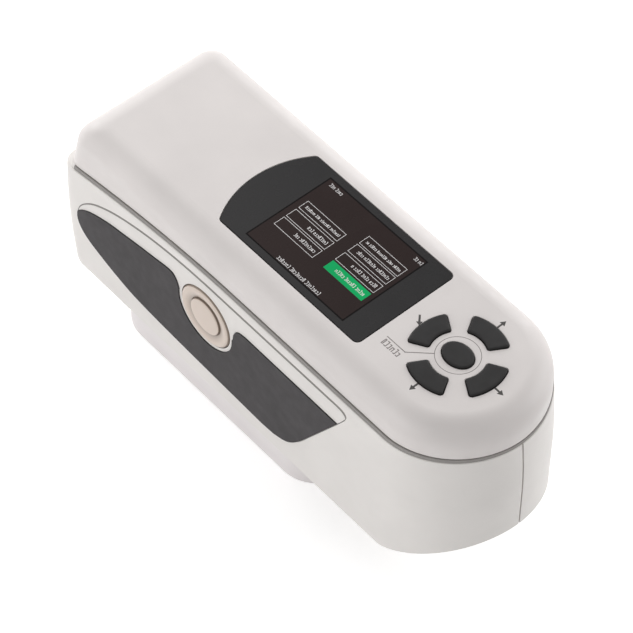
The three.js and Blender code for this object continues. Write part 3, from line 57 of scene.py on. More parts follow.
# Camera, solved from the outlines in the photograph
AZIMUTH, ELEVATION, ROLL = math.radians(48.77), math.radians(51.80), math.radians(0.32)
AIM = Vector((6.4, 0.0, 98.5))
DISTANCE, SIDEWAYS, UPWARDS = 999.2, -4.80, -24.60
FOCAL_PIXELS, FRAME_PIXELS, SENSOR = 2999.0, 633.0, 36.0


def make_camera():
    back = Vector(
        (
            math.sin(AZIMUTH) * math.cos(ELEVATION),
            -math.cos(AZIMUTH) * math.cos(ELEVATION),
            math.sin(ELEVATION),
        )
    )
    right = Vector((math.cos(AZIMUTH), math.sin(AZIMUTH), 0.0))
    up = back.cross(right)
    turned_right = right * math.cos(ROLL) + up * math.sin(ROLL)
    turned_up = up * math.cos(ROLL) - right * math.sin(ROLL)
    place = (AIM + back * DISTANCE + turned_right * SIDEWAYS + turned_up * UPWARDS) * MM
    camera = bpy.data.objects.new("camera", bpy.data.cameras.new("camera"))
    SCENE.collection.objects.link(camera)
    axes = Matrix((turned_right, turned_up, back)).transposed()
    camera.matrix_world = Matrix.Translation(place) @ axes.to_4x4()
    camera.data.sensor_width = SENSOR
    camera.data.lens = FOCAL_PIXELS / FRAME_PIXELS * SENSOR
    camera.data.clip_start = 0.01
    camera.data.clip_end = 20.0
    SCENE.camera = camera


make_camera()

# Sizes: those of the part, a little refined at the ends of the cover and the shells
TOP = 98.5
REAR_END, FRONT_END = -102.5, 102.5
BASE = 20.0
NOSE_POWER = 1.94
SEAM, SEAM_DIP, SEAM_START, SEAM_POWER, SEAM_HALF = 83.7, 11.0, -10.0, 1.7, 0.9
COVER = {
    "half": 32.0,
    "nose": 100.4,
    "run": 30.4,
    "rear": -98.8,
    "lean": 7.0,
    "wall": 2.4,
    "fillet": 9.0,
    "corner": 6.6,
    "corner_top": 2.4,
}
SHELL = {
    "half": 33.0,
    "nose": 102.47,
    "run": 31.4,
    "rear": -102.48,
    "lean": 1.7,
    "lean_from": 58.0,
    "lean_power": 1.8,
    "wall": 3.0,
    "fillet": 2.4,
    "bulge": 2.4,
    "corner": 7.6,
}
CHIN_START, CHIN_HEIGHT = 66.0, 39.5
KEYPAD_X = 68.9
BUTTON_X, BUTTON_Z, BUTTON_R, DISC_R = -20.6, 60.3, 12.6, 7.35
BUTTON_PROUD, BUTTON_CLEARANCE, BUTTON_STEPS = 0.8, 0.35, 96
NOSE_STEPS, CORNER_STEPS, SIDE_STEPS, FILLET_STEPS = 96, 12, 24, 14


def lerp(a, b, t):
    return a + (b - a) * t


def seam_at(x):
    share = max(0.0, (SEAM_START - x) / (SEAM_START - REAR_END))
    return SEAM - SEAM_DIP * share**SEAM_POWER


REAR_SEAM = seam_at(REAR_END)


def arc(x, y, radius, start, end, steps):
    angles = [math.radians(lerp(start, end, i / steps)) for i in range(steps + 1)]
    return [(x + radius * math.cos(a), y + radius * math.sin(a)) for a in angles]


def body_outline(half, rear, nose, run, corner):
    """The body in plan, anticlockwise: rear corner, near side, nose, far side, rear corner."""

    def nose_point(share):
        angle = lerp(-math.pi / 2, math.pi / 2, share)
        along = abs(math.cos(angle)) ** (2 / NOSE_POWER)
        across = math.copysign(abs(math.sin(angle)) ** (2 / NOSE_POWER), angle)
        return (nose - run + run * along, half * across)

    side = [lerp(rear + corner, nose - run, i / SIDE_STEPS) for i in range(1, SIDE_STEPS)]
    return [
        *arc(rear + corner, -half + corner, corner, 180, 270, CORNER_STEPS),
        *[(x, -half) for x in side],
        *[nose_point(i / NOSE_STEPS) for i in range(NOSE_STEPS + 1)],
        *[(x, half) for x in reversed(side)],
        *arc(rear + corner, half - corner, corner, 90, 180, CORNER_STEPS),
    ]


def cover_outline(inset, height):
    rise = (height - REAR_SEAM) / (TOP - REAR_SEAM)
    return body_outline(
        COVER["half"] - inset,
        COVER["rear"] + inset + COVER["lean"] * rise,
        COVER["nose"] - inset,
        COVER["run"] - inset,
        lerp(COVER["corner"], COVER["corner_top"], min(1.0, inset / COVER["fillet"])),
    )


def nose_at(height):
    """How far forward the shells reach: upright at first, then leaning back towards the seam."""
    share = max(0.0, height - SHELL["lean_from"]) / (SEAM - SHELL["lean_from"])
    return SHELL["nose"] - SHELL["lean"] * share ** SHELL["lean_power"]


def shell_outline(inset, height):
    middle, span = (SEAM + BASE) / 2, (SEAM - BASE) / 2
    bulge = SHELL["bulge"] * ((height - middle) / span) ** 2
    return body_outline(
        SHELL["half"] - inset,
        SHELL["rear"] + bulge + inset,
        nose_at(height) - inset,
        SHELL["run"] - inset,
        SHELL["corner"] - min(inset, SHELL["corner"] / 2),
    )


def flat_ring(outline, height):
    return [(x, y, height) for x, y in outline]


def seam_ring(outline_at, inset, offset, far, share):
    """Ring between the seam line, moved up by offset, and the level far; share is 0 at the seam."""
    ring = []
    guess = outline_at(inset, lerp(SEAM, far, share))
    for i, (x, _) in enumerate(guess):
        height = lerp(seam_at(x) + offset, far, share)
        px, py = outline_at(inset, height)[i] if x < SEAM_START else guess[i]
        ring.append((px, py, lerp(seam_at(px) + offset, far, share)))
    return ring


# Mesh tools
def link(name, verts, faces):
    mesh = bpy.data.meshes.new(name)
    mesh.from_pydata([(x * MM, y * MM, z * MM) for x, y, z in verts], [], faces)
    work = bmesh.new()
    work.from_mesh(mesh)
    bmesh.ops.remove_doubles(work, verts=work.verts, dist=MERGE)
    bmesh.ops.dissolve_degenerate(work, edges=work.edges, dist=MERGE)
    bmesh.ops.recalc_face_normals(work, faces=work.faces)
    work.to_mesh(mesh)
    work.free()
    obj = bpy.data.objects.new(name, mesh)
    SCENE.collection.objects.link(obj)
    return obj


class Build:
    """Collects loops of points and the faces between them, for one mesh."""

    def __init__(self):
        self.verts, self.faces = [], []

    def loop(self, points):
        start = len(self.verts)
        self.verts += points
        return list(range(start, start + len(points)))

    def bridge(self, a, b):
        n = len(a)
        self.faces += [(a[i], a[(i + 1) % n], b[(i + 1) % n], b[i]) for i in range(n)]

    def stack(self, rings):
        loops = [self.loop(r) for r in rings]
        for a, b in zip(loops, loops[1:], strict=False):
            self.bridge(a, b)
        return loops[0], loops[-1]

    def cap(self, *loops):
        """A flat face with holes: the first loop is its edge, and each other loop is a hole."""
        lines = [[Vector(self.verts[i]) for i in loop] for loop in loops]
        index = [i for loop in loops for i in loop]
        flat = [[Vector(plan(p, lines[0])) for p in line] for line in lines]
        self.faces += [tuple(index[k] for k in tri) for tri in tessellate_polygon(flat)]

    def ladder(self, loop):
        """Closes a loop whose near and far sides are alike, rung by rung, so it may curve lengthwise."""
        last = len(loop) - 1
        for i in range(last // 2 + 1):
            rung = dict.fromkeys((loop[i], loop[i + 1], loop[last - i - 1], loop[last - i]))
            if len(rung) > 2:
                self.faces.append(tuple(rung))

    def solid(self, rings):
        first, last = self.stack(rings)
        self.cap(first)
        self.cap(last)

    def make(self, name):
        return link(name, self.verts, self.faces)


def plan(point, line):
    """A point of a flat face as seen along the axis on which the face is thinnest."""
    spans = [max(p[k] for p in line) - min(p[k] for p in line) for k in range(3)]
    thin = spans.index(min(spans))
    return [point[k] for k in range(3) if k != thin] + [0.0]


def loft(name, rings):
    build = Build()
    build.solid(rings)
    return build.make(name)


def prism(name, outline, low, high):
    return loft(name, [flat_ring(outline, low), flat_ring(outline, high)])


def side_prism(name, outline, near, far):
    return loft(name, [[(x, near, z) for x, z in outline], [(x, far, z) for x, z in outline]])


def bar(x0, x1, y0, y1):
    return [(x0, y0), (x1, y0), (x1, y1), (x0, y1)]


def box_solid(name, x0, x1, y0, y1, z0, z1):
    return prism(name, bar(x0, x1, y0, y1), z0, z1)


def circle(x, y, radius, steps):
    return arc(x, y, radius, 0, 360, steps)[:-1]


def pins(places, radius, steps, low, high):
    return [prism("pin", circle(x, y, radius, steps), low, high) for x, y in places]


def button_circle(clearance):
    return circle(BUTTON_X, BUTTON_Z, BUTTON_R + clearance, BUTTON_STEPS)


def turns(steps):
    """The angles of a full turn in even steps."""
    return [2 * math.pi * i / steps for i in range(steps)]


def join(name, objs):
    verts, faces = [], []
    for o in objs:
        start = len(verts)
        verts += [tuple(c / MM for c in v.co) for v in o.data.vertices]
        faces += [tuple(start + i for i in p.vertices) for p in o.data.polygons]
        bpy.data.objects.remove(o)
    return link(name, verts, faces)


def triangulate(obj):
    work = bmesh.new()
    work.from_mesh(obj.data)
    bmesh.ops.triangulate(work, faces=work.faces)
    work.to_mesh(obj.data)
    work.free()


def apply_modifiers(obj):
    graph = bpy.context.evaluated_depsgraph_get()
    made = bpy.data.meshes.new_from_object(obj.evaluated_get(graph), depsgraph=graph)
    obj.modifiers.clear()
    obj.data = made


def combine(obj, tool, operation):
    triangulate(obj)
    triangulate(tool)
    step = obj.modifiers.new("combine", "BOOLEAN")
    step.object, step.operation, step.solver = tool, operation, "EXACT"
    apply_modifiers(obj)
    bpy.data.objects.remove(tool)
    return obj


def cut(obj, tool):
    return combine(obj, tool, "DIFFERENCE")


def bevel(obj, width, segments):
    step = obj.modifiers.new("bevel", "BEVEL")
    step.width, step.segments = width * MM, segments
    step.limit_method, step.angle_limit = "ANGLE", math.radians(40)
    step.use_clamp_overlap = True
    apply_modifiers(obj)


def smooth(obj, angle=30):
    """Smooth shading with crisp edges, weighted so that flat faces stay flat."""
    work = bmesh.new()
    work.from_mesh(obj.data)
    bmesh.ops.dissolve_degenerate(work, edges=work.edges, dist=MERGE)
    for face in work.faces:
        face.smooth = True
    for edge in work.edges:
        edge.smooth = len(edge.link_faces) == 2 and edge.calc_face_angle(0.0) < math.radians(angle)
    work.to_mesh(obj.data)
    work.free()
    step = obj.modifiers.new("weighted", "WEIGHTED_NORMAL")
    step.keep_sharp, step.weight = True, 100


def dress(obj, material, body="housing", replaces=(), angle=30):
    smooth(obj, angle)
    obj.data.materials.clear()
    obj.data.materials.append(material)
    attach(obj, body)
    if replaces:
        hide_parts(*replaces)


# Finishes
def put(node, values):
    for socket, value in values.items():
        node.inputs[socket].default_value = value


def colour_ramp(tree, source, stops):
    made = tree.nodes.new("ShaderNodeValToRGB")
    ramp = made.color_ramp
    while len(ramp.elements) < len(stops):
        ramp.elements.new(0.5)
    for element, (place, colour) in zip(ramp.elements, stops, strict=True):
        element.position, element.color = place, (*colour, 1.0)
    tree.links.new(source, made.inputs["Fac"])
    return made.outputs["Color"]


class Shader:
    def __init__(self, name):
        self.material = bpy.data.materials.new(name)
        self.material.use_nodes = True
        self.tree = self.material.node_tree
        self.main = self.tree.nodes["Principled BSDF"]
        self.place = self.tree.nodes.new("ShaderNodeTexCoord").outputs["Object"]

    def noise(self, scale, detail=3.0, roughness=0.5):
        made = self.tree.nodes.new("ShaderNodeTexNoise")
        put(made, {"Scale": scale, "Detail": detail, "Roughness": roughness})
        self.link(self.place, made.inputs["Vector"])
        return made.outputs["Fac"]

    def link(self, a, b):
        self.tree.links.new(a, b)

    def spread(self, source, low, high):
        """A factor, nominally 0.3 to 0.7, as a number between low and high."""
        made = self.tree.nodes.new("ShaderNodeMapRange")
        put(made, {"From Min": 0.3, "From Max": 0.7, "To Min": low, "To Max": high})
        self.link(source, made.inputs["Value"])
        return made.outputs["Result"]

    def ramp(self, source, stops):
        return colour_ramp(self.tree, source, stops)

    def bump(self, source, height_mm):
        made = self.tree.nodes.new("ShaderNodeBump")
        put(made, {"Distance": height_mm * MM, "Strength": 1.0})
        self.link(source, made.inputs["Height"])
        return made.outputs["Normal"]


def tint(colour, factor):
    return tuple(min(1.0, c * factor) for c in colour)


def grained(
    name, colour, roughness, grain_mm, height_mm, change=0.03, coat=0.0, specular=0.5, sheen=0.06
):
    """Moulded plastic or rubber: fine grain, slight clouding of its colour and uneven sheen."""
    s = Shader(name)
    uneven = s.spread(s.noise(260.0, 3.0), roughness - sheen, roughness + sheen)
    cloud = s.noise(45.0, 4.0)
    clouded = s.ramp(cloud, [(0.3, tint(colour, 1 - change)), (0.7, tint(colour, 1 + change))])
    s.link(clouded, s.main.inputs["Base Color"])
    s.link(uneven, s.main.inputs["Roughness"])
    s.link(s.bump(s.noise(1.0 / (grain_mm * MM), 2.0, 0.6), height_mm), s.main.inputs["Normal"])
    put(s.main, {"Coat Weight": coat, "Specular IOR Level": specular})
    return s.material


def metal(name, colour, roughness):
    s = Shader(name)
    grain = s.noise(2600.0, 4.0, 0.6)
    brushed = s.ramp(grain, [(0.3, tint(colour, 0.86)), (0.7, tint(colour, 1.08))])
    s.link(brushed, s.main.inputs["Base Color"])
    s.link(s.spread(grain, roughness - 0.08, roughness + 0.1), s.main.inputs["Roughness"])
    s.link(s.bump(grain, 0.01), s.main.inputs["Normal"])
    put(s.main, {"Metallic": 1.0})
    return s.material


def circuit_board(name):
    s = Shader(name)
    tracks = s.tree.nodes.new("ShaderNodeTexVoronoi")
    tracks.feature = "DISTANCE_TO_EDGE"
    put(tracks, {"Scale": 420.0})
    s.link(s.place, tracks.inputs["Vector"])
    edge = tracks.outputs["Distance"]
    colour = s.ramp(edge, [(0.05, (0.03, 0.24, 0.10)), (0.09, (0.012, 0.12, 0.05))])
    s.link(colour, s.main.inputs["Base Color"])
    s.link(s.bump(edge, 0.03), s.main.inputs["Normal"])
    put(s.main, {"Roughness": 0.35})
    return s.material


COVER_PLASTIC = grained("cover_plastic", (0.700, 0.660, 0.645), 0.5, 0.35, 0.012)
# Painted light: the shells are the cover's plastic, made lighter where the side lamps fall on them
LIT_SHELL_PLASTIC = grained("lit_shell_plastic", (0.745, 0.715, 0.690), 0.5, 0.35, 0.012)
FOOT_PLASTIC = grained("foot_plastic", (0.785, 0.745, 0.745), 0.5, 0.4, 0.012)
GRIP_RUBBER = grained("grip_rubber", (0.060, 0.056, 0.058), 0.72, 0.3, 0.02, 0.08, specular=0.2)
KEY_RUBBER = grained("key_rubber", (0.022, 0.021, 0.021), 0.6, 0.3, 0.02, 0.12, specular=0.2)
GASKET_RUBBER = grained("gasket_rubber", (0.265, 0.249, 0.237), 0.7, 0.3, 0.01, 0.05)
# Painted shade: a dark strip standing in for the shadow in the groove round each side panel
GROOVE_SHADE_DARK = grained("groove_shade_dark", (0.225, 0.210, 0.198), 0.7, 0.3, 0.01, 0.05)
MAT_RUBBER = grained("mat_rubber", (0.45, 0.45, 0.46), 0.5, 0.4, 0.01)
# Painted shade: a darker brown for the wall round the button's disc and the side wall of its rim
BUTTON_PAINTED_SHADE = grained("button_painted_shade", (0.330, 0.265, 0.220), 0.5, 0.5, 0.004, 0.03, specular=0.2)
BUTTON_PLASTIC = grained("button_plastic", (0.640, 0.540, 0.470), 0.42, 0.5, 0.004, 0.03, coat=0.1)
WINDOW_PRINT = grained(
    "window_print", (0.012, 0.011, 0.0115), 0.27, 0.6, 0.0005, 0.1, specular=0.22, sheen=0.02
)
SCREEN_GLASS = grained(
    "screen_glass", (0.019, 0.010, 0.009), 0.27, 0.6, 0.0005, 0.1, specular=0.12, sheen=0.02
)
# Painted shade: a near-black border round the lit area, for the shadow of the recess it sits in
SCREEN_SHADE_EDGE = grained("screen_shade_edge", (0.003, 0.002, 0.002), 0.4, 0.6, 0.0005, 0.1, specular=0.05)
SCREEN_WHITE = grained("screen_white", (0.80, 0.78, 0.78), 0.4, 0.5, 0.001)
SCREEN_GREEN = grained("screen_green", (0.001, 0.395, 0.115), 0.5, 0.5, 0.001, 0.06, specular=0.1)
PRINT_INK = grained("print_ink", (0.030, 0.026, 0.024), 0.5, 0.4, 0.002, 0.1)
LINE_INK = grained("line_ink", (0.160, 0.140, 0.135), 0.5, 0.4, 0.002, 0.1)
CHIP_BLACK = grained("chip_black", (0.014, 0.014, 0.016), 0.5, 0.3, 0.01, 0.1)
MOULDED_BLACK = grained("moulded_black", (0.024, 0.024, 0.025), 0.45, 0.35, 0.012, 0.1)
SPHERE_WHITE = grained("sphere_white", (0.86, 0.86, 0.83), 0.85, 0.25, 0.02)
LAMP_PLASTIC = grained("lamp_plastic", (0.88, 0.82, 0.62), 0.15, 0.5, 0.002)
CELL_WRAP = grained("cell_wrap", (0.04, 0.11, 0.32), 0.3, 0.8, 0.01, 0.06)
STEEL = metal("steel", (0.52, 0.53, 0.54), 0.32)
BOARD = circuit_board("circuit_board")


# Painted shade on the button's slope round its disc: where it starts and ends, its darkest level and how
# it eases
SHADE_INNER, SHADE_OUTER, SHADE_LEVEL, SHADE_EASE = DISC_R + 0.2, DISC_R + 3.2, 0.56, 0.62


def paint_ring_shade(material):
    """Painted shade: darkens the button's plastic where its slope goes down to the disc, most at the
    inner radius.
    """
    tree = material.node_tree
    span = 2 * BUTTON_R
    colour_in = tree.nodes["Principled BSDF"].inputs["Base Color"]
    plain = colour_in.links[0].from_socket
    texture_place = next(n for n in tree.nodes if n.bl_idname == "ShaderNodeTexCoord")
    across = tree.nodes.new("ShaderNodeVectorMath")
    across.operation = "MULTIPLY_ADD"
    put(across, {1: (1.0, 0.0, 1.0), 2: (-BUTTON_X * MM, 0.0, -BUTTON_Z * MM)})
    tree.links.new(texture_place.outputs["Object"], across.inputs[0])
    radius = tree.nodes.new("ShaderNodeVectorMath")
    radius.operation = "LENGTH"
    tree.links.new(across.outputs["Vector"], radius.inputs[0])
    share = tree.nodes.new("ShaderNodeMapRange")
    put(share, {"From Max": span * MM})
    tree.links.new(radius.outputs["Value"], share.inputs["Value"])
    stops = [
        (SHADE_INNER - 0.1, 1.0),
        (SHADE_INNER, SHADE_LEVEL),
        ((SHADE_INNER + SHADE_OUTER) / 2, lerp(SHADE_LEVEL, 1.0, SHADE_EASE)),
        (SHADE_OUTER, 1.0),
    ]
    greys = [(place / span, (grey, grey, grey)) for place, grey in stops]
    both = tree.nodes.new("ShaderNodeVectorMath")
    both.operation = "MULTIPLY"
    tree.links.new(plain, both.inputs[0])
    tree.links.new(colour_ramp(tree, share.outputs["Result"], greys), both.inputs[1])
    tree.links.new(both.outputs["Vector"], colour_in)


paint_ring_shade(BUTTON_PLASTIC)


def lens_glass():
    s = Shader("lens_glass")
    s.link(s.spread(s.noise(300.0), 0.02, 0.06), s.main.inputs["Roughness"])
    put(s.main, {"Transmission Weight": 1.0, "IOR": 1.49})
    return s.material


LENS = lens_glass()

# Solids shown as they are packed, by finish
CARRIED = [
    (BOARD, ["main_board", "key_board", "light_board", "sensor_board", "socket_board"]),
    (CHIP_BLACK, ["display_panel", "processor", "colour_sensor", "test_switch"]),
    (MOULDED_BLACK, ["display_frame", "switch_plunger", "measuring_port_ring"]),
    (MOULDED_BLACK, ["detector_tube", "charging_jack"]),
    (SPHERE_WHITE, ["sphere_lower", "sphere_upper"]),
    (STEEL, ["switch_bracket", "data_socket", *[name for name in NODES if "screw" in name]]),
    (LAMP_PLASTIC, [name for name in NODES if name.startswith("lamp")]),
    (FOOT_PLASTIC, ["battery_cover"]),
    (MAT_RUBBER, ["key_mat"]),
    (LENS, ["detector_lens"]),
    (CELL_WRAP, ["battery_pack"]),
]


def finish_carried():
    for finish, names in CARRIED:
        for name in names:
            NODES[name].data.materials.clear()
            NODES[name].data.materials.append(finish)
            smooth(NODES[name])


finish_carried()

# Outlines on the top face
WINDOW_FRONT, WINDOW_REAR, WINDOW_HALF, WINDOW_SAGITTA, WINDOW_CORNER = 43.9, -25.5, 21.6, 6.9, 2.0
WINDOW_REAR_CORNER, WINDOW_CHAMFER, WINDOW_POCKET, WINDOW_THICK = 0.4, 0.12, 1.4, 1.1
LIT_AREA = (-15.3, 33.7, -18.4, 18.4)
KEY_OUTER, KEY_INNER, KEY_ANGLE, KEY_ROUND, KEY_RISE = 17.3, 9.8, 30.5, 1.0, 0.8
KEY_LEAST_ROUND, KEY_EDGE_STEPS = 0.15, 14
MIDDLE_KEY_X, MIDDLE_KEY_Y, MIDDLE_KEY_STEPS = 6.2, 4.8, 72
KEY_HOLE, KEY_HOLE_EDGE, KEY_HOLE_STEP = 0.1, 0.25, 0.15


def grown(outline, distance):
    area = sum(a[0] * b[1] - b[0] * a[1] for a, b in zip(outline, outline[1:] + outline[:1], strict=True))
    turn = math.copysign(1.0, area)
    made = []
    for i, (x, y) in enumerate(outline):
        before = Vector((x - outline[i - 1][0], y - outline[i - 1][1]))
        after = Vector((outline[(i + 1) % len(outline)][0] - x, outline[(i + 1) % len(outline)][1] - y))
        along = (before.normalized() + after.normalized()).normalized()
        made.append((x + turn * along.y * distance, y - turn * along.x * distance))
    return made


def window_outline(distance):
    radius = (WINDOW_HALF**2 + WINDOW_SAGITTA**2) / (2 * WINDOW_SAGITTA)
    ease = WINDOW_REAR_CORNER
    reach = math.degrees(math.asin((WINDOW_HALF - ease) / radius))
    centre = WINDOW_REAR - WINDOW_SAGITTA + radius
    c = WINDOW_CORNER
    outline = [
        *arc(WINDOW_FRONT - c, -WINDOW_HALF + c, c, 270, 360, 8),
        *arc(WINDOW_FRONT - c, WINDOW_HALF - c, c, 0, 90, 8),
        (WINDOW_REAR + 2 * ease, WINDOW_HALF),
        (WINDOW_REAR + ease, WINDOW_HALF - ease / 5),
        *arc(centre, 0, radius, 180 - reach, 180 + reach, 40),
        (WINDOW_REAR + ease, -WINDOW_HALF + ease / 5),
        (WINDOW_REAR + 2 * ease, -WINDOW_HALF),
    ]
    return grown(outline, distance)


def curved_key(direction, distance):
    """A key curved round the keypad's middle, with rounded corners, grown by distance."""
    middle = (KEY_OUTER + KEY_INNER) / 2
    reach = math.radians(KEY_ANGLE) * middle + distance
    low, high = KEY_INNER - distance, KEY_OUTER + distance
    c = max(KEY_LEAST_ROUND, KEY_ROUND + distance)
    shares = [i / KEY_EDGE_STEPS for i in range(KEY_EDGE_STEPS)]
    flat = [
        *[(lerp(-reach + c, reach - c, share), low) for share in shares],
        *arc(reach - c, low + c, c, 270, 360, 5),
        *arc(reach - c, high - c, c, 0, 90, 5)[:-1],
        *[(lerp(reach - c, -reach + c, share), high) for share in shares],
        *arc(-reach + c, high - c, c, 90, 180, 5),
        *arc(-reach + c, low + c, c, 180, 270, 5)[:-1],
    ]
    made = []
    for s, r in flat:
        angle = math.radians(direction) - s / middle
        made.append((KEYPAD_X + r * math.cos(angle), r * math.sin(angle)))
    return made[::-1]


def centre_key(_, distance):
    long, short = MIDDLE_KEY_X + distance, MIDDLE_KEY_Y + distance
    return [(KEYPAD_X + long * math.cos(a), short * math.sin(a)) for a in turns(MIDDLE_KEY_STEPS)]


KEYS = {
    "key_centre": (centre_key, 0),
    "key_front": (curved_key, 0),
    "key_left": (curved_key, 90),
    "key_rear": (curved_key, 180),
    "key_right": (curved_key, 270),
}


# Top cover
LIP_RISE = 0.35
LIP = [(LIP_RISE, 0.0), (0.10, 0.10), (0.0, LIP_RISE)]
INNER_FILLET_STEPS = 4


def make_cover():
    wall, fillet = COVER["wall"], COVER["fillet"]
    start = TOP - fillet
    low = SEAM_HALF
    outer = [seam_ring(cover_outline, inset, low + rise, start, 0.0) for inset, rise in LIP]
    outer += [seam_ring(cover_outline, 0.0, low + LIP_RISE, start, t) for t in (0.25, 0.5, 0.75)]
    for i in range(FILLET_STEPS + 1):
        angle = math.pi / 2 * i / FILLET_STEPS
        height = start + fillet * math.sin(angle)
        outer.append(flat_ring(cover_outline(fillet * (1 - math.cos(angle)), height), height))
    build = Build()
    lip, rim = build.stack(outer)
    inner_top = TOP - wall
    inner_fillet = fillet - wall
    inner = [seam_ring(cover_outline, wall, low, inner_top - inner_fillet, 0.0)]
    for i in range(INNER_FILLET_STEPS + 1):
        angle = math.pi / 2 * i / INNER_FILLET_STEPS
        height = inner_top - inner_fillet + inner_fillet * math.sin(angle)
        inset = wall + inner_fillet * (1 - math.cos(angle))
        inner.append(flat_ring(cover_outline(inset, height), height))
    inner_lip, inner_rim = build.stack(inner)
    build.bridge(lip, inner_lip)
    top_holes, under_holes = [], []
    pocket = TOP - WINDOW_POCKET
    edge = build.loop(flat_ring(window_outline(GAP + WINDOW_CHAMFER), TOP))
    wall_top = build.loop(flat_ring(window_outline(GAP), TOP - WINDOW_CHAMFER))
    wall_foot = build.loop(flat_ring(window_outline(GAP), pocket))
    build.bridge(edge, wall_top)
    build.bridge(wall_top, wall_foot)
    top_holes.append(edge)
    lit_top = build.loop(flat_ring(bar(*LIT_AREA), pocket))
    lit_foot = build.loop(flat_ring(bar(*LIT_AREA), inner_top))
    build.bridge(lit_top, lit_foot)
    build.cap(wall_foot, lit_top)
    under_holes.append(lit_foot)
    for outline, direction in KEYS.values():
        edge = build.loop(flat_ring(outline(direction, KEY_HOLE_EDGE), TOP))
        step = build.loop(flat_ring(outline(direction, KEY_HOLE), TOP - KEY_HOLE_STEP))
        foot = build.loop(flat_ring(outline(direction, KEY_HOLE), inner_top))
        build.bridge(edge, step)
        build.bridge(step, foot)
        top_holes.append(edge)
        under_holes.append(foot)
    build.cap(rim, *top_holes)
    build.cap(inner_rim, *under_holes)
    dress(build.make("cover_shell"), COVER_PLASTIC, replaces=["top_cover"])


make_cover()

# Side panel outlines
LEAF_X, LEAF_L, LEAF_Z, LEAF_H = -92.5, 144.5, 29.0, 49.3
LEAF_TOP = [
    *[(0, 0.44), (0.012, 0.55), (0.05, 0.675), (0.1, 0.77)],
    *[(0.18, 0.865), (0.29, 0.943), (0.4, 0.985), (0.5, 1)],
]
LEAF_FRONT = [(0.945, 1), (0.985, 0.995), (1, 0.95), (0.985, 0.86)]
LEAF_HEEL = [(0.845, 0.22), (0.815, 0.11), (0.785, 0.045), (0.745, 0.008)]
LEAF_FOOT = [
    *[(0.7, 0), (0.39, 0.04), (0.235, 0.075), (0.155, 0.125)],
    *[(0.08, 0.2), (0.035, 0.26), (0.008, 0.34)],
]
GRIP_TOP = [
    *[(-0.02, 0.43), (0.006, 0.49), (0.024, 0.537), (0.05, 0.585), (0.09, 0.633)],
    *[(0.14, 0.676), (0.19, 0.704), (0.25, 0.738), (0.31, 0.768), (0.35, 0.79)],
]
GRIP_SHOULDER = [(0.364, 0.794), (0.378, 0.788), (0.389, 0.757), (0.396, 0.715)]
GRIP_HOOK = [(0.601, 0.68), (0.604, 0.735), (0.612, 0.777), (0.625, 0.803), (0.645, 0.814)]
GRIP_END = (0.972, 0.802)
GRIP_BEYOND, COLLAR_START, COLLAR_END = 6, 172, 363
COLLAR, COLLAR_OVERLAP = 1.7, 0.02
GRIP_PROUD, GRIP_GAP, PANEL_SEAT, PANEL_BEVEL, GRIP_BEVEL = 0.5, 0.14, 31.5, 0.22, 0.3
GROOVE_X, GROOVE_Z, GROOVE_RISE, GROOVE_SHADE_DEPTH, GROOVE_SHADE_SLACK = 0.45, 0.95, 0.45, 0.03, 0.04


def leaf_point(share):
    return (LEAF_X + LEAF_L * share[0], LEAF_Z + LEAF_H * share[1])


def spline(shares, steps, before=None, after=None):
    """Catmull-Rom curve through points, spread evenly over its spans; before and after steer its ends."""
    spans = len(shares) - 1
    shares = [before or shares[0], *shares, after or shares[-1]]
    points = [leaf_point(s) for s in shares]
    made = []
    for i in range(steps + 1):
        t = spans * i / steps
        k = min(int(t), spans - 1)
        w = t - k
        p0, p1, p2, p3 = points[k : k + 4]
        made.append(
            tuple(
                p1[a]
                + 0.5 * w * (p2[a] - p0[a])
                + w * w * (p0[a] - 2.5 * p1[a] + 2 * p2[a] - 0.5 * p3[a])
                + w**3 * (1.5 * (p1[a] - p2[a]) + 0.5 * (p3[a] - p0[a]))
                for a in range(2)
            )
        )
    return made


LEAF = spline(LEAF_TOP, 56, before=LEAF_FOOT[-1]) + spline(LEAF_FRONT, 14) + spline(LEAF_HEEL, 14)
LEAF += spline([*LEAF_FOOT, LEAF_TOP[0]], 63, after=LEAF_TOP[1])[:-1]
RAISED_LEAF = [(x + GROOVE_RISE / 3, z + GROOVE_RISE) for x, z in LEAF]


def grip_region(with_button, distance):
    outline = spline(GRIP_TOP, 40)
    if with_button:
        collar = arc(BUTTON_X, BUTTON_Z, BUTTON_R + COLLAR, COLLAR_START, COLLAR_END, 48)
        outline += spline(GRIP_SHOULDER, 12) + collar + spline(GRIP_HOOK, 16)
    end_x, end_z = leaf_point(GRIP_END)
    start_x, _ = leaf_point(GRIP_TOP[0])
    low, far = LEAF_Z - GRIP_BEYOND, end_x + GRIP_BEYOND
    outline += [(end_x, end_z), (far, end_z), (far, low), (start_x, low)]
    return grown(outline, distance)


# Lower shells
RIM_CHAMFER, SHELL_FILLET_STEPS = 0.25, 4
SHELL_SHARES = (0.9, 0.75, 0.6, 0.5, 0.41, 0.34, 0.27, 0.2, 0.13, 0.06, 0.0)
SILL_LENGTH, SILL_DROP = 8.5, 6.7
CASE_SCREWS = [(-84.0, -22.0), (-84.0, 22.0), (54.0, -25.0), (54.0, 25.0)]
POST_R, POST_TOP, POST_SINK = 3.9, 61.0, 0.5
PIT_R, PIT_TOP = 3.1, 51.0
BORE_R, BORE_FOOT, BORE_TOP = 1.8, 50.0, 63.0
WELL = (-70.8, 25.0, 24.75, 12.5)
POCKET_SEAT, POCKET_FACE, HOLE_SEAT = 31.2, 35.0, 27.0
SOCKETS = {-1: (-9.0, 12.0), 1: (10.0, 9.0)}
SOCKET_FOOT, SOCKET_TOP, SOCKET_REAR, SOCKET_FRONT = 39.6, 51.0, -105.0, -97.5
PARTING_HALF, PARTING_DEPTH, PARTING_STEPS, STRIP_SLACK = 0.32, 0.8, 16, 0.03
PARTING_SPACE = (90.0, 110.0, -1.0, 1.0)


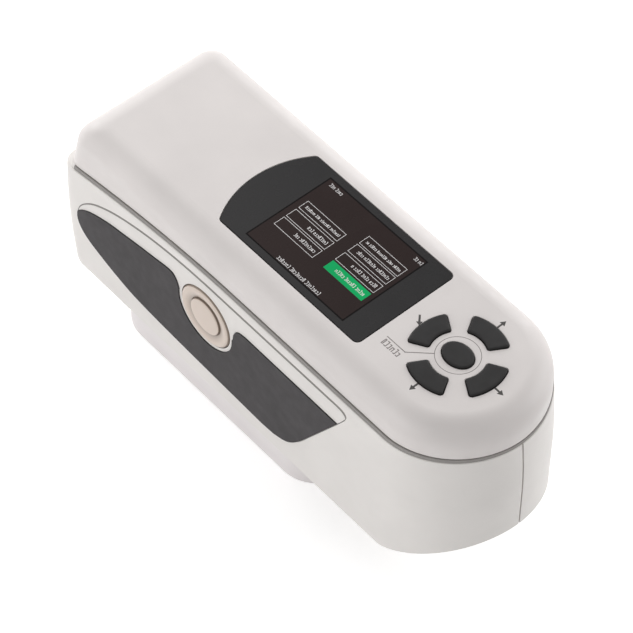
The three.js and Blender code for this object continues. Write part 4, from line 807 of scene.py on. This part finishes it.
def shell_solid(name, wall, foot, lift):
    rings = []
    for i in range(SHELL_FILLET_STEPS + 1):
        angle = math.pi / 2 * i / SHELL_FILLET_STEPS
        height = foot + SHELL["fillet"] * (1 - math.cos(angle))
        inset = wall + SHELL["fillet"] * (1 - math.sin(angle))
        rings.append(flat_ring(shell_outline(inset, height), height))
    start = foot + SHELL["fillet"]
    top = -SEAM_HALF + lift
    drop = 0.0 if wall else RIM_CHAMFER
    rings += [seam_ring(shell_outline, wall, top - drop, start, share) for share in SHELL_SHARES]
    if not wall:
        rings.append(seam_ring(shell_outline, RIM_CHAMFER, top, start, 0.0))
    build = Build()
    first, last = build.stack(rings)
    build.cap(first)
    build.ladder(last)
    return build.make(name)


def chin_wedge(name, foot, lift):
    slope = (CHIN_HEIGHT - BASE) / (FRONT_END - CHIN_START)
    end = FRONT_END + OVERRUN
    start = CHIN_START - (lift - (foot - BASE)) / slope
    outline = [(start, foot), (start, TOOL_FOOT), (end, TOOL_FOOT), (end, foot + slope * (end - start))]
    return side_prism(name, outline, -TOOL_HALF, TOOL_HALF)


def rounded_rectangle(x0, x1, half, corner, steps=8):
    return [
        *arc(x0 + corner, -half + corner, corner, 180, 270, steps),
        *arc(x1 - corner, -half + corner, corner, 270, 360, steps),
        *arc(x1 - corner, half - corner, corner, 0, 90, steps),
        *arc(x0 + corner, half - corner, corner, 90, 180, steps),
    ]


def parting_cut(name, depth, half, proud):
    """A strip along the parting line on the nose, from depth behind its face to proud in front of it."""
    low, high = CHIN_HEIGHT - OVERRUN, SEAM + OVERRUN
    heights = [lerp(low, high, i / PARTING_STEPS) for i in range(PARTING_STEPS + 1)]
    outline = [(nose_at(z) - depth, z) for z in heights]
    outline += [(nose_at(z) + proud, z) for z in reversed(heights)]
    return side_prism(name, outline, -half, half)


def make_parting():
    depth = 2 * PARTING_DEPTH
    strip = parting_cut("parting_strip", depth, GAP / 2 - STRIP_SLACK, -PARTING_DEPTH)
    cut(strip, box_solid("top", *PARTING_SPACE, SEAM - SEAM_HALF - GAP, SEAM + 2 * OVERRUN))
    cut(strip, box_solid("foot", *PARTING_SPACE, CHIN_HEIGHT - 2 * OVERRUN, CHIN_HEIGHT + GAP))
    dress(strip, MOULDED_BLACK)


def make_shells():
    floor = BASE + SHELL["wall"]
    slope = math.atan2(CHIN_HEIGHT - BASE, FRONT_END - CHIN_START)
    body = cut(shell_solid("body", 0.0, BASE, 0.0), chin_wedge("wedge", BASE, 0.0))
    hollow = cut(
        shell_solid("hollow", SHELL["wall"], floor, 1.0),
        chin_wedge("wedge", floor, SHELL["wall"] / math.cos(slope)),
    )
    sill = (REAR_END - OVERRUN, REAR_END + SILL_LENGTH, -TOOL_HALF, TOOL_HALF)
    hollow = cut(hollow, box_solid("sill", *sill, REAR_SEAM - SILL_DROP, TOP))
    cut(body, hollow)
    posts = pins(CASE_SCREWS, POST_R, 32, floor - POST_SINK, POST_TOP)
    combine(body, join("posts", posts), "UNION")
    tools = pins(CASE_SCREWS, PIT_R, 32, BASE - OVERRUN, PIT_TOP)
    tools.append(prism("well", rounded_rectangle(*WELL), BASE - OVERRUN, floor + OVERRUN))
    cut(body, join("tools", tools))
    cut(body, join("bores", pins(CASE_SCREWS, BORE_R, 20, BORE_FOOT, BORE_TOP)))
    for side, word in ((-1, "right"), (1, "left")):
        half = body.copy()
        half.data = body.data.copy()
        half.name = f"lower_shell_{word}"
        SCENE.collection.objects.link(half)
        near, far = sorted((side * GAP / 2, side * TOOL_HALF))
        combine(half, box_solid("half", -TOOL_X, TOOL_X, near, far, 0.0, TOOL_TOP), "INTERSECT")
        for pocket in (LEAF, RAISED_LEAF):
            cut(half, side_prism("pocket", pocket, *sorted((side * POCKET_SEAT, side * POCKET_FACE))))
        if side < 0:
            cut(half, side_prism("hole", button_circle(BUTTON_CLEARANCE), -POCKET_FACE, -HOLE_SEAT))
        middle, width = SOCKETS[side]
        mouth = (middle - width / 2 - GAP, middle + width / 2 + GAP, SOCKET_FOOT, SOCKET_TOP)
        cut(half, box_solid("mouth", SOCKET_REAR, SOCKET_FRONT, *mouth))
        cut(half, parting_cut("groove", PARTING_DEPTH, PARTING_HALF, OVERRUN))
        dress(half, LIT_SHELL_PLASTIC, replaces=[f"shell_{word}"])
    bpy.data.objects.remove(body)


make_shells()
make_parting()


# Base block
BLOCK_REAR, BLOCK_FRONT, BLOCK_HALF, BLOCK_CORNER = -82.0, 29.0, 27.75, 15.0
BLOCK_TOP, BLOCK_WALL, BLOCK_FLOOR, BLOCK_EDGE = BASE - GAP, 2.5, 3.0, 0.8
BLOCK_SCREWS = [(x, y) for x in (-74.4, 21.4) for y in (-20.15, 20.15)]
BATTERY_SCREWS = [(-71.75, 0.0), (-32.25, 0.0)]
BLOCK_POST, BLOCK_BORE, BLOCK_HEAD, HEAD_DROP = 3.6, 1.6, 2.8, 14.0
BATTERY_POST, BATTERY_POST_TALL, BATTERY_BORE, BATTERY_BORE_TALL = 2.9, 5.0, 1.3, 7.0
RECESS, RECESS_DEPTH = (-75.3, -28.7, 17.3, 3.3), 2.0
BAY = (-68.5, -35.5, -15.0, 15.0)
PORT_X, PORT_RING = 0.0, 8.6
BLOCK_CORNER_STEPS, BLOCK_EDGE_STEPS = 20, 5


def make_block():
    def outline(inset):
        ends = (BLOCK_REAR + inset, BLOCK_FRONT - inset)
        return rounded_rectangle(*ends, BLOCK_HALF - inset, BLOCK_CORNER - inset, BLOCK_CORNER_STEPS)

    rings = []
    for i in range(BLOCK_EDGE_STEPS + 1):
        angle = math.pi / 2 * i / BLOCK_EDGE_STEPS
        inset, height = BLOCK_EDGE * (1 - math.sin(angle)), BLOCK_EDGE * (1 - math.cos(angle))
        rings.append(flat_ring(outline(inset), height))
    block = loft("base_block_skin", [*rings, flat_ring(outline(0.0), BLOCK_TOP)])
    hollow = [
        flat_ring(outline(BLOCK_WALL + BLOCK_EDGE), BLOCK_FLOOR),
        flat_ring(outline(BLOCK_WALL), BLOCK_FLOOR + BLOCK_EDGE),
        flat_ring(outline(BLOCK_WALL), BLOCK_TOP + OVERRUN),
    ]
    cut(block, loft("hollow", hollow))
    foot = BLOCK_FLOOR - POST_SINK
    posts = pins(BLOCK_SCREWS, BLOCK_POST, 32, foot, BLOCK_TOP)
    posts += pins(BATTERY_SCREWS, BATTERY_POST, 32, foot, BLOCK_FLOOR + BATTERY_POST_TALL)
    combine(block, join("posts", posts), "UNION")
    cut(block, prism("recess", rounded_rectangle(*RECESS), -OVERRUN, RECESS_DEPTH))
    cut(block, box_solid("bay", *BAY, -OVERRUN, BLOCK_FLOOR + OVERRUN))
    bores = pins([(PORT_X, 0.0)], PORT_RING + GAP, 96, -OVERRUN, BLOCK_FLOOR + OVERRUN)
    bores += pins(BLOCK_SCREWS, BLOCK_BORE, 24, -OVERRUN, BLOCK_TOP + OVERRUN)
    bores += pins(BATTERY_SCREWS, BATTERY_BORE, 24, -OVERRUN, BLOCK_FLOOR + BATTERY_BORE_TALL)
    cut(block, join("bores", bores))
    cut(block, join("heads", pins(BLOCK_SCREWS, BLOCK_HEAD, 32, -OVERRUN, BLOCK_TOP - HEAD_DROP)))
    dress(block, FOOT_PLASTIC, replaces=["base_block"])


make_block()

# Gasket, side panels and grips
BAND_END, BAND_EDGE, BAND_DEPTH, BAND_JOINT = -93.0, 0.12, 2.7, 0.05


def make_gasket():
    edge, depth = BAND_EDGE, BAND_DEPTH
    half = SEAM_HALF - edge

    def middle(inset, _):
        pairs = zip(cover_outline(inset, REAR_SEAM), shell_outline(inset, SEAM), strict=True)
        return [((ax + bx) / 2, (ay + by) / 2) for (ax, ay), (bx, by) in pairs]

    def inner(inset, _):
        return cover_outline(inset, REAR_SEAM)

    rings = [
        seam_ring(middle, edge, -half, TOP, 0.0),
        seam_ring(middle, 0.0, -half + edge, TOP, 0.0),
        seam_ring(middle, 0.0, half - edge, TOP, 0.0),
        seam_ring(middle, edge, half, TOP, 0.0),
        seam_ring(inner, depth, half, TOP, 0.0),
        seam_ring(inner, depth, -half, TOP, 0.0),
    ]
    build = Build()
    first, last = build.stack(rings)
    build.bridge(last, first)
    band = build.make("seam_band")
    rear = build.make("seam_rear")
    space = (-TOOL_HALF, TOOL_HALF, BASE, TOP)
    cut(band, box_solid("rear", REAR_END, BAND_END, *space))
    combine(rear, box_solid("rear", REAR_END, BAND_END - BAND_JOINT, *space), "INTERSECT")
    dress(band, GASKET_RUBBER, replaces=["seam_gasket"])
    dress(rear, LIT_SHELL_PLASTIC, replaces=["seam_gasket"])


make_gasket()


def make_side(word, side):
    with_button = side < 0
    seat, face = PANEL_SEAT, SHELL["half"]

    def across(a, b):
        return sorted((side * a, side * b))

    def lowered(outline):
        return [(x - GROOVE_X, z - GROOVE_Z) for x, z in outline]

    through = across(seat - OVERRUN, face + OVERRUN)
    beyond = across(seat - FAR_OVERRUN, face + FAR_OVERRUN)
    panel = side_prism("panel", grown(LEAF, -GAP), *across(seat, face))
    combine(panel, side_prism("lowered", lowered(LEAF), *through), "INTERSECT")
    # Painted shade: a dark strip in the groove round the panel, in place of the groove's shadow
    groove_shade = side_prism("groove_shade", grown(RAISED_LEAF, -GROOVE_SHADE_SLACK), *across(seat, face - GROOVE_SHADE_DEPTH))
    inside = side_prism("inside", grown(LEAF, GROOVE_SHADE_SLACK - GAP), *through)
    combine(inside, side_prism("lowered", lowered(grown(LEAF, GROOVE_SHADE_SLACK)), *beyond), "INTERSECT")
    cut(groove_shade, inside)
    groove_shade.name = f"groove_shade_strip_{word}"
    dress(groove_shade, GROOVE_SHADE_DARK, angle=35)
    cut(panel, side_prism("grip", grip_region(with_button, GRIP_GAP), *through))
    if with_button:
        ring = button_circle(COLLAR - GRIP_GAP + COLLAR_OVERLAP)
        combine(panel, side_prism("ring", ring, *across(seat, face)), "UNION")
        hole = across(seat - OVERRUN, face + FAR_OVERRUN)
        cut(panel, side_prism("hole", button_circle(BUTTON_CLEARANCE), *hole))
    panel.name = f"side_panel_skin_{word}"
    bevel(panel, PANEL_BEVEL, 2)
    dress(panel, LIT_SHELL_PLASTIC, replaces=[f"side_panel_{word}"], angle=35)
    pad = side_prism("pad", grown(LEAF, -GAP), *across(seat, face + GRIP_PROUD))
    combine(pad, side_prism("region", grip_region(with_button, 0.0), *through), "INTERSECT")
    pad.name = f"grip_{word}"
    bevel(pad, GRIP_BEVEL, 3)
    dress(pad, GRIP_RUBBER, replaces=[f"grip_pad_{word}"], angle=35)


make_side("right", -1)
make_side("left", 1)


# Test button
STEM_R, STEM_END, FLANGE, FLANGE_BACK, FLANGE_FRONT = 3.0, -25.1, 1.5, -28.5, -29.7
BUTTON_CENTRE, BUTTON_TURN_STEPS = 0.4, 112

# Steps inwards from the rim and outwards from the disc, each with its depth below the face
RIM_PROFILE = [
    *[(0.0, 1.20), (0.05, 0.86), (0.17, 0.58), (0.36, 0.34)],
    *[(0.61, 0.16), (0.90, 0.04), (1.25, 0.0), (1.65, 0.04)],
]
DISC_PROFILE = [
    *[(3.00, 0.13), (2.30, 0.27), (1.70, 0.45), (1.20, 0.60), (0.80, 0.74)],
    *[(0.50, 0.87), (0.42, 0.90), (0.37, 1.50), (0.04, 1.50), (0.02, 0.62)],
    *[(0.0, 0.30), (-0.07, 0.16), (-0.24, 0.07), (-0.60, 0.02), (-1.40, 0.0)],
]


def make_button():
    rim, disc = BUTTON_R, DISC_R
    face = -SHELL["half"] - BUTTON_PROUD
    profile = [
        (STEM_R, STEM_END),
        (STEM_R, FLANGE_BACK),
        (rim + FLANGE, FLANGE_BACK),
        (rim + FLANGE, FLANGE_FRONT),
        (rim, FLANGE_FRONT),
        *[(rim - step, face + depth) for step, depth in RIM_PROFILE],
        *[(disc + step, face + depth) for step, depth in DISC_PROFILE],
        (BUTTON_CENTRE, face),
    ]
    rings = [
        [(BUTTON_X + r * math.cos(a), y, BUTTON_Z + r * math.sin(a)) for a in turns(BUTTON_TURN_STEPS)]
        for r, y in profile
    ]
    button = loft("button_cap", rings)
    dress(button, BUTTON_PLASTIC, body="test_button", replaces=["test_button"], angle=38)
    # Painted shade: faces on the disc's wall and on the rim's side wall take the darker brown
    button.data.materials.append(BUTTON_PAINTED_SHADE)
    for polygon in button.data.polygons:
        x, y, z = polygon.center / MM
        radius = math.hypot(x - BUTTON_X, z - BUTTON_Z)
        shaded_disc_wall = y > face + 0.25 and disc - 0.05 < radius < disc + 0.45
        shaded_rim_wall = y > face + 0.40 and radius > rim - 0.35
        if shaded_disc_wall or shaded_rim_wall:
            polygon.material_index = 1


make_button()


# Keys
KEY_FLANGE, KEY_FOOT, KEY_FLANGE_TOP = 0.9, 94.7, 95.8
KEY_SIDE, KEY_SHOULDER, KEY_FILLET, KEY_CROWN, KEY_FILLET_STEPS = 0.2, 0.55, 0.5, 1.1, 5


def make_keys():
    top = TOP + KEY_RISE
    for name, (outline, direction) in KEYS.items():
        levels = [
            (KEY_FLANGE, KEY_FOOT),
            (KEY_FLANGE, KEY_FLANGE_TOP),
            (-KEY_SIDE, KEY_FLANGE_TOP),
            (-KEY_SIDE, top - KEY_SHOULDER),
        ]
        for i in range(1, KEY_FILLET_STEPS + 1):
            angle = math.pi / 2 * i / KEY_FILLET_STEPS
            inset = KEY_FILLET * (1 - math.cos(angle))
            levels.append((-KEY_SIDE - inset, top - KEY_SHOULDER + KEY_FILLET * math.sin(angle)))
        levels.append((-KEY_CROWN, top))
        cap = loft(f"{name}_cap", [flat_ring(outline(direction, grow), z) for grow, z in levels])
        dress(cap, KEY_RUBBER, body=name, replaces=[name], angle=32)


make_keys()


# Display
def plates(name, outlines, low, high, material):
    build = Build()
    for outline in outlines:
        build.solid([flat_ring(outline, low), flat_ring(outline, high)])
    dress(build.make(name), material)


def stroke(points, width):
    """Outlines of straight strokes of a width through points."""
    made = []
    for (ax, ay), (bx, by) in zip(points, points[1:], strict=False):
        along = Vector((bx - ax, by - ay)).normalized() * (width / 2)
        side = Vector((-along.y, along.x))
        made.append(
            [
                (ax - along.x - side.x, ay - along.y - side.y),
                (bx + along.x - side.x, by + along.y - side.y),
                (bx + along.x + side.x, by + along.y + side.y),
                (ax - along.x + side.x, ay - along.y + side.y),
            ]
        )
    return made


def frame_bars(x0, x1, y0, y1, width):
    return [
        bar(x0, x1, y0, y0 + width),
        bar(x0, x1, y1 - width, y1),
        bar(x0, x0 + width, y0 + width, y1 - width),
        bar(x1 - width, x1, y0 + width, y1 - width),
    ]


LETTER_WIDTHS = (0.62, 0.5, 0.66, 0.44, 0.58, 0.5, 0.7, 0.52)
LETTER_TALLS = (1.0, 0.72, 0.72, 1.0, 0.72, 0.86, 0.72, 1.0)
LETTER_UNIT, LETTER_SPACE, WORD_SPACE = 1.5, 0.26, 0.5


def greeked(x0, x1, foot, height, seed, words, width=0.18):
    """A line of stand-in letters with no meaning, from +X to -X: each is an upright with short bars."""
    made = []
    x, count, word = x1, seed, 0
    left = words[0]
    while True:
        size = LETTER_WIDTHS[count % len(LETTER_WIDTHS)] * height / LETTER_UNIT
        tall = height * LETTER_TALLS[(count * 3) % len(LETTER_TALLS)]
        if x - size < x0:
            return made
        made.append(bar(x - width, x, foot, foot + tall))
        made.append(bar(x - size, x - width, foot + tall - width, foot + tall))
        if count % 3:
            made.append(bar(x - size, x - width, foot, foot + width))
        else:
            made.append(bar(x - size, x - size + width, foot, foot + tall - width))
        x -= size + LETTER_SPACE * height / LETTER_UNIT
        count += 1
        left -= 1
        if left == 0:
            word += 1
            left = words[word % len(words)]
            x -= WORD_SPACE * height / LETTER_UNIT


FIELD_LOW, ROW_LOW, LINES_LOW, LINES_TOP = TOP + 0.004, TOP + 0.012, TOP + 0.018, TOP + 0.026
SCREEN_FIELD, SCREEN_SHADE_EDGE_WIDTH = (-15.3, 33.9, -19.0, 18.9), 0.5
GREEN_ROW = (12.6, 31.6, -8.85, -4.35)
SCREEN_FRAME_WIDTH = 0.16
SCREEN_FRAMES = (
    (12.6, 31.7, -3.6, 0.85),
    (12.6, 31.7, 1.9, 6.35),
    (12.6, 31.7, 7.0, 11.6),
    (-12.35, 7.25, -9.0, -4.4),
    (-12.35, 7.25, -3.65, 0.85),
    (-12.35, 7.25, 1.85, 6.25),
)

# Each line of print: its two ends, its foot, its height, its first letter and its words
SCREEN_PRINT = (
    (-0.5, 20.5, -18.1, 1.6, 1, (8, 8)),
    (-13.2, -6.9, 16.0, 1.5, 2, (4, 4)),
    (29.5, 33.2, 16.0, 1.5, 5, (2, 4)),
    (16.0, 30.3, -7.2, 1.5, 3, (5, 6)),
    (18.0, 30.4, -1.9, 1.5, 0, (4, 4)),
    (15.0, 30.6, 3.5, 1.4, 4, (8, 7)),
    (13.4, 30.6, 8.7, 1.2, 6, (5, 4, 7)),
    (-5.0, 5.9, -7.4, 1.5, 2, (9, 9)),
    (-4.0, 5.9, -2.1, 1.5, 5, (8, 8)),
    (-11.0, 6.1, 3.4, 1.2, 1, (7, 7, 3)),
)


def make_display():
    rings = [
        flat_ring(window_outline(0.0), TOP - WINDOW_THICK),
        flat_ring(window_outline(0.0), TOP - WINDOW_CHAMFER),
        flat_ring(window_outline(-WINDOW_CHAMFER), TOP),
    ]
    window = loft("window_pane", rings)
    dress(window, WINDOW_PRINT, replaces=["display_window"])
    # Painted shade: the border round the lit area stands in for its recess's shadow
    edge = frame_bars(*SCREEN_FIELD, SCREEN_SHADE_EDGE_WIDTH)
    plates("screen_field", [bar(*SCREEN_FIELD)], FIELD_LOW, ROW_LOW, SCREEN_GLASS)
    plates("screen_shade_edge", edge, ROW_LOW, LINES_LOW, SCREEN_SHADE_EDGE)
    white = []
    for frame_box in SCREEN_FRAMES:
        white += frame_bars(*frame_box, SCREEN_FRAME_WIDTH)
    for line in SCREEN_PRINT:
        white += greeked(*line)
    plates("screen_row", [bar(*GREEN_ROW)], ROW_LOW, LINES_LOW, SCREEN_GREEN)
    plates("screen_lines", white, LINES_LOW, LINES_TOP, SCREEN_WHITE)


make_display()


# Prints round the keypad
PRINT_LOW, PRINT_HIGH = 0.004, 0.014


def ring_strip(name, radius_x, radius_y, width, low, high, material):
    build = Build()

    def ellipse(grow, z):
        long, short = radius_x + grow, radius_y + grow
        return [(KEYPAD_X + long * math.cos(a), short * math.sin(a), z) for a in turns(128)]

    edges = [(-width / 2, low), (width / 2, low), (width / 2, high), (-width / 2, high)]
    first, last = build.stack([ellipse(grow, z) for grow, z in edges])
    build.bridge(last, first)
    dress(build.make(name), material)


def arrow(x0, y0, x1, y1, head, width, spread):
    """Outlines of an arrow from its tail to its tip."""
    along = Vector((x1 - x0, y1 - y0)).normalized()
    side = Vector((-along.y, along.x))
    tip, tail = Vector((x1, y1)), Vector((x0, y0))
    neck = tip - along * head
    half, flare = side * width / 2, side * spread / 2
    shaft = [tail - half, neck - half, neck + half, tail + half]
    point = [neck - flare, tip, neck + flare]
    return [[tuple(p) for p in line] for line in (shaft, point)]


def make_prints():
    low, high = TOP + PRINT_LOW, TOP + PRINT_HIGH
    ring_strip("key_ring_print", 7.7, 7.6, 0.2, low, high, LINE_INK)
    leader = stroke([(63.3, -5.3), (56.7, -12.1), (48.2, -12.1)], 0.3)
    letters = greeked(47.9, 56.4, -15.5, 2.5, 4, (6, 6), 0.34)
    plates("label_print", leader + letters, low, high, LINE_INK)
    arrows = [
        *arrow(68.9, 17.4, 68.9, 21.4, 1.9, 0.7, 2.3),
        *arrow(86.3, 0.0, 90.3, 0.0, 1.9, 0.7, 2.3),
        *arrow(68.9, -17.4, 68.9, -21.3, 1.9, 0.7, 2.3),
        *arrow(48.4, 1.9, 51.6, -1.3, 1.7, 0.7, 2.2),
    ]
    plates("arrow_print", arrows, low, high, PRINT_INK)


make_prints()


# Floor, light and world
FLOOR_HALF, FLOOR_LIFT, WORLD_LIGHT, WORLD_SEEN = 3.0, 0.4, 0.46, 1.0

# Each lamp: its place in metres, its size and its power
LIGHTS_AIM = (0.0, 0.0, 0.06)
LIGHTS = {
    "near_light": ((-0.10, -0.90, 0.25), 0.6, 2.8),
    "far_light": ((-0.30, 0.70, 0.42), 0.5, 2.35),
    "front_light": ((0.45, 0.70, 0.35), 0.5, 2.3),
    "rear_light": ((-0.75, 0.05, 0.35), 0.4, 2.3),
    "top_light": ((-0.45, 0.10, 0.75), 0.5, 0.75),
}


def seen(tree, strength, rest=0.0):
    """A number that is strength for what the camera, a mirror or glass sees, and rest for other light."""
    path = tree.nodes.new("ShaderNodeLightPath")
    made = path.outputs["Is Camera Ray"]
    for name in ("Is Glossy Ray", "Is Transmission Ray"):
        either = tree.nodes.new("ShaderNodeMath")
        either.operation = "MAXIMUM"
        tree.links.new(made, either.inputs[0])
        tree.links.new(path.outputs[name], either.inputs[1])
        made = either.outputs["Value"]
    level = tree.nodes.new("ShaderNodeMapRange")
    put(level, {"To Min": rest, "To Max": strength})
    tree.links.new(made, level.inputs["Value"])
    return level.outputs["Result"]


def make_floor():
    mesh = bpy.data.meshes.new("floor")
    corners = bar(-FLOOR_HALF, FLOOR_HALF, -FLOOR_HALF, FLOOR_HALF)
    mesh.from_pydata([(x, y, 0) for x, y in corners], [], [(0, 1, 2, 3)])
    floor = bpy.data.objects.new("floor", mesh)
    SCENE.collection.objects.link(floor)
    s = Shader("floor")
    pale = s.ramp(s.noise(3.0), [(0.3, (0.94, 0.94, 0.94)), (0.7, (0.95, 0.95, 0.95))])
    s.link(pale, s.main.inputs["Base Color"])
    put(s.main, {"Emission Color": (1.0, 1.0, 1.0, 1.0), "Roughness": 1.0, "Specular IOR Level": 0.0})
    s.link(seen(s.tree, FLOOR_LIFT), s.main.inputs["Emission Strength"])
    floor.data.materials.append(s.material)


def make_light(name, place, size, power):
    data = bpy.data.lights.new(name, "AREA")
    data.shape, data.size, data.energy = "DISK", size, power
    lamp = bpy.data.objects.new(name, data)
    SCENE.collection.objects.link(lamp)
    lamp.location = place
    lamp.rotation_euler = (Vector(LIGHTS_AIM) - Vector(place)).to_track_quat("-Z", "Y").to_euler()


def make_world():
    world = bpy.data.worlds.new("studio")
    SCENE.world = world
    world.use_nodes = True
    tree = world.node_tree
    back = tree.nodes["Background"]
    put(back, {"Color": (1.0, 1.0, 1.0, 1.0)})
    tree.links.new(seen(tree, WORLD_SEEN, WORLD_LIGHT), back.inputs["Strength"])


make_floor()
make_world()
for light_name, light_values in LIGHTS.items():
    make_light(light_name, *light_values)
SCENE.view_settings.view_transform = "Standard"
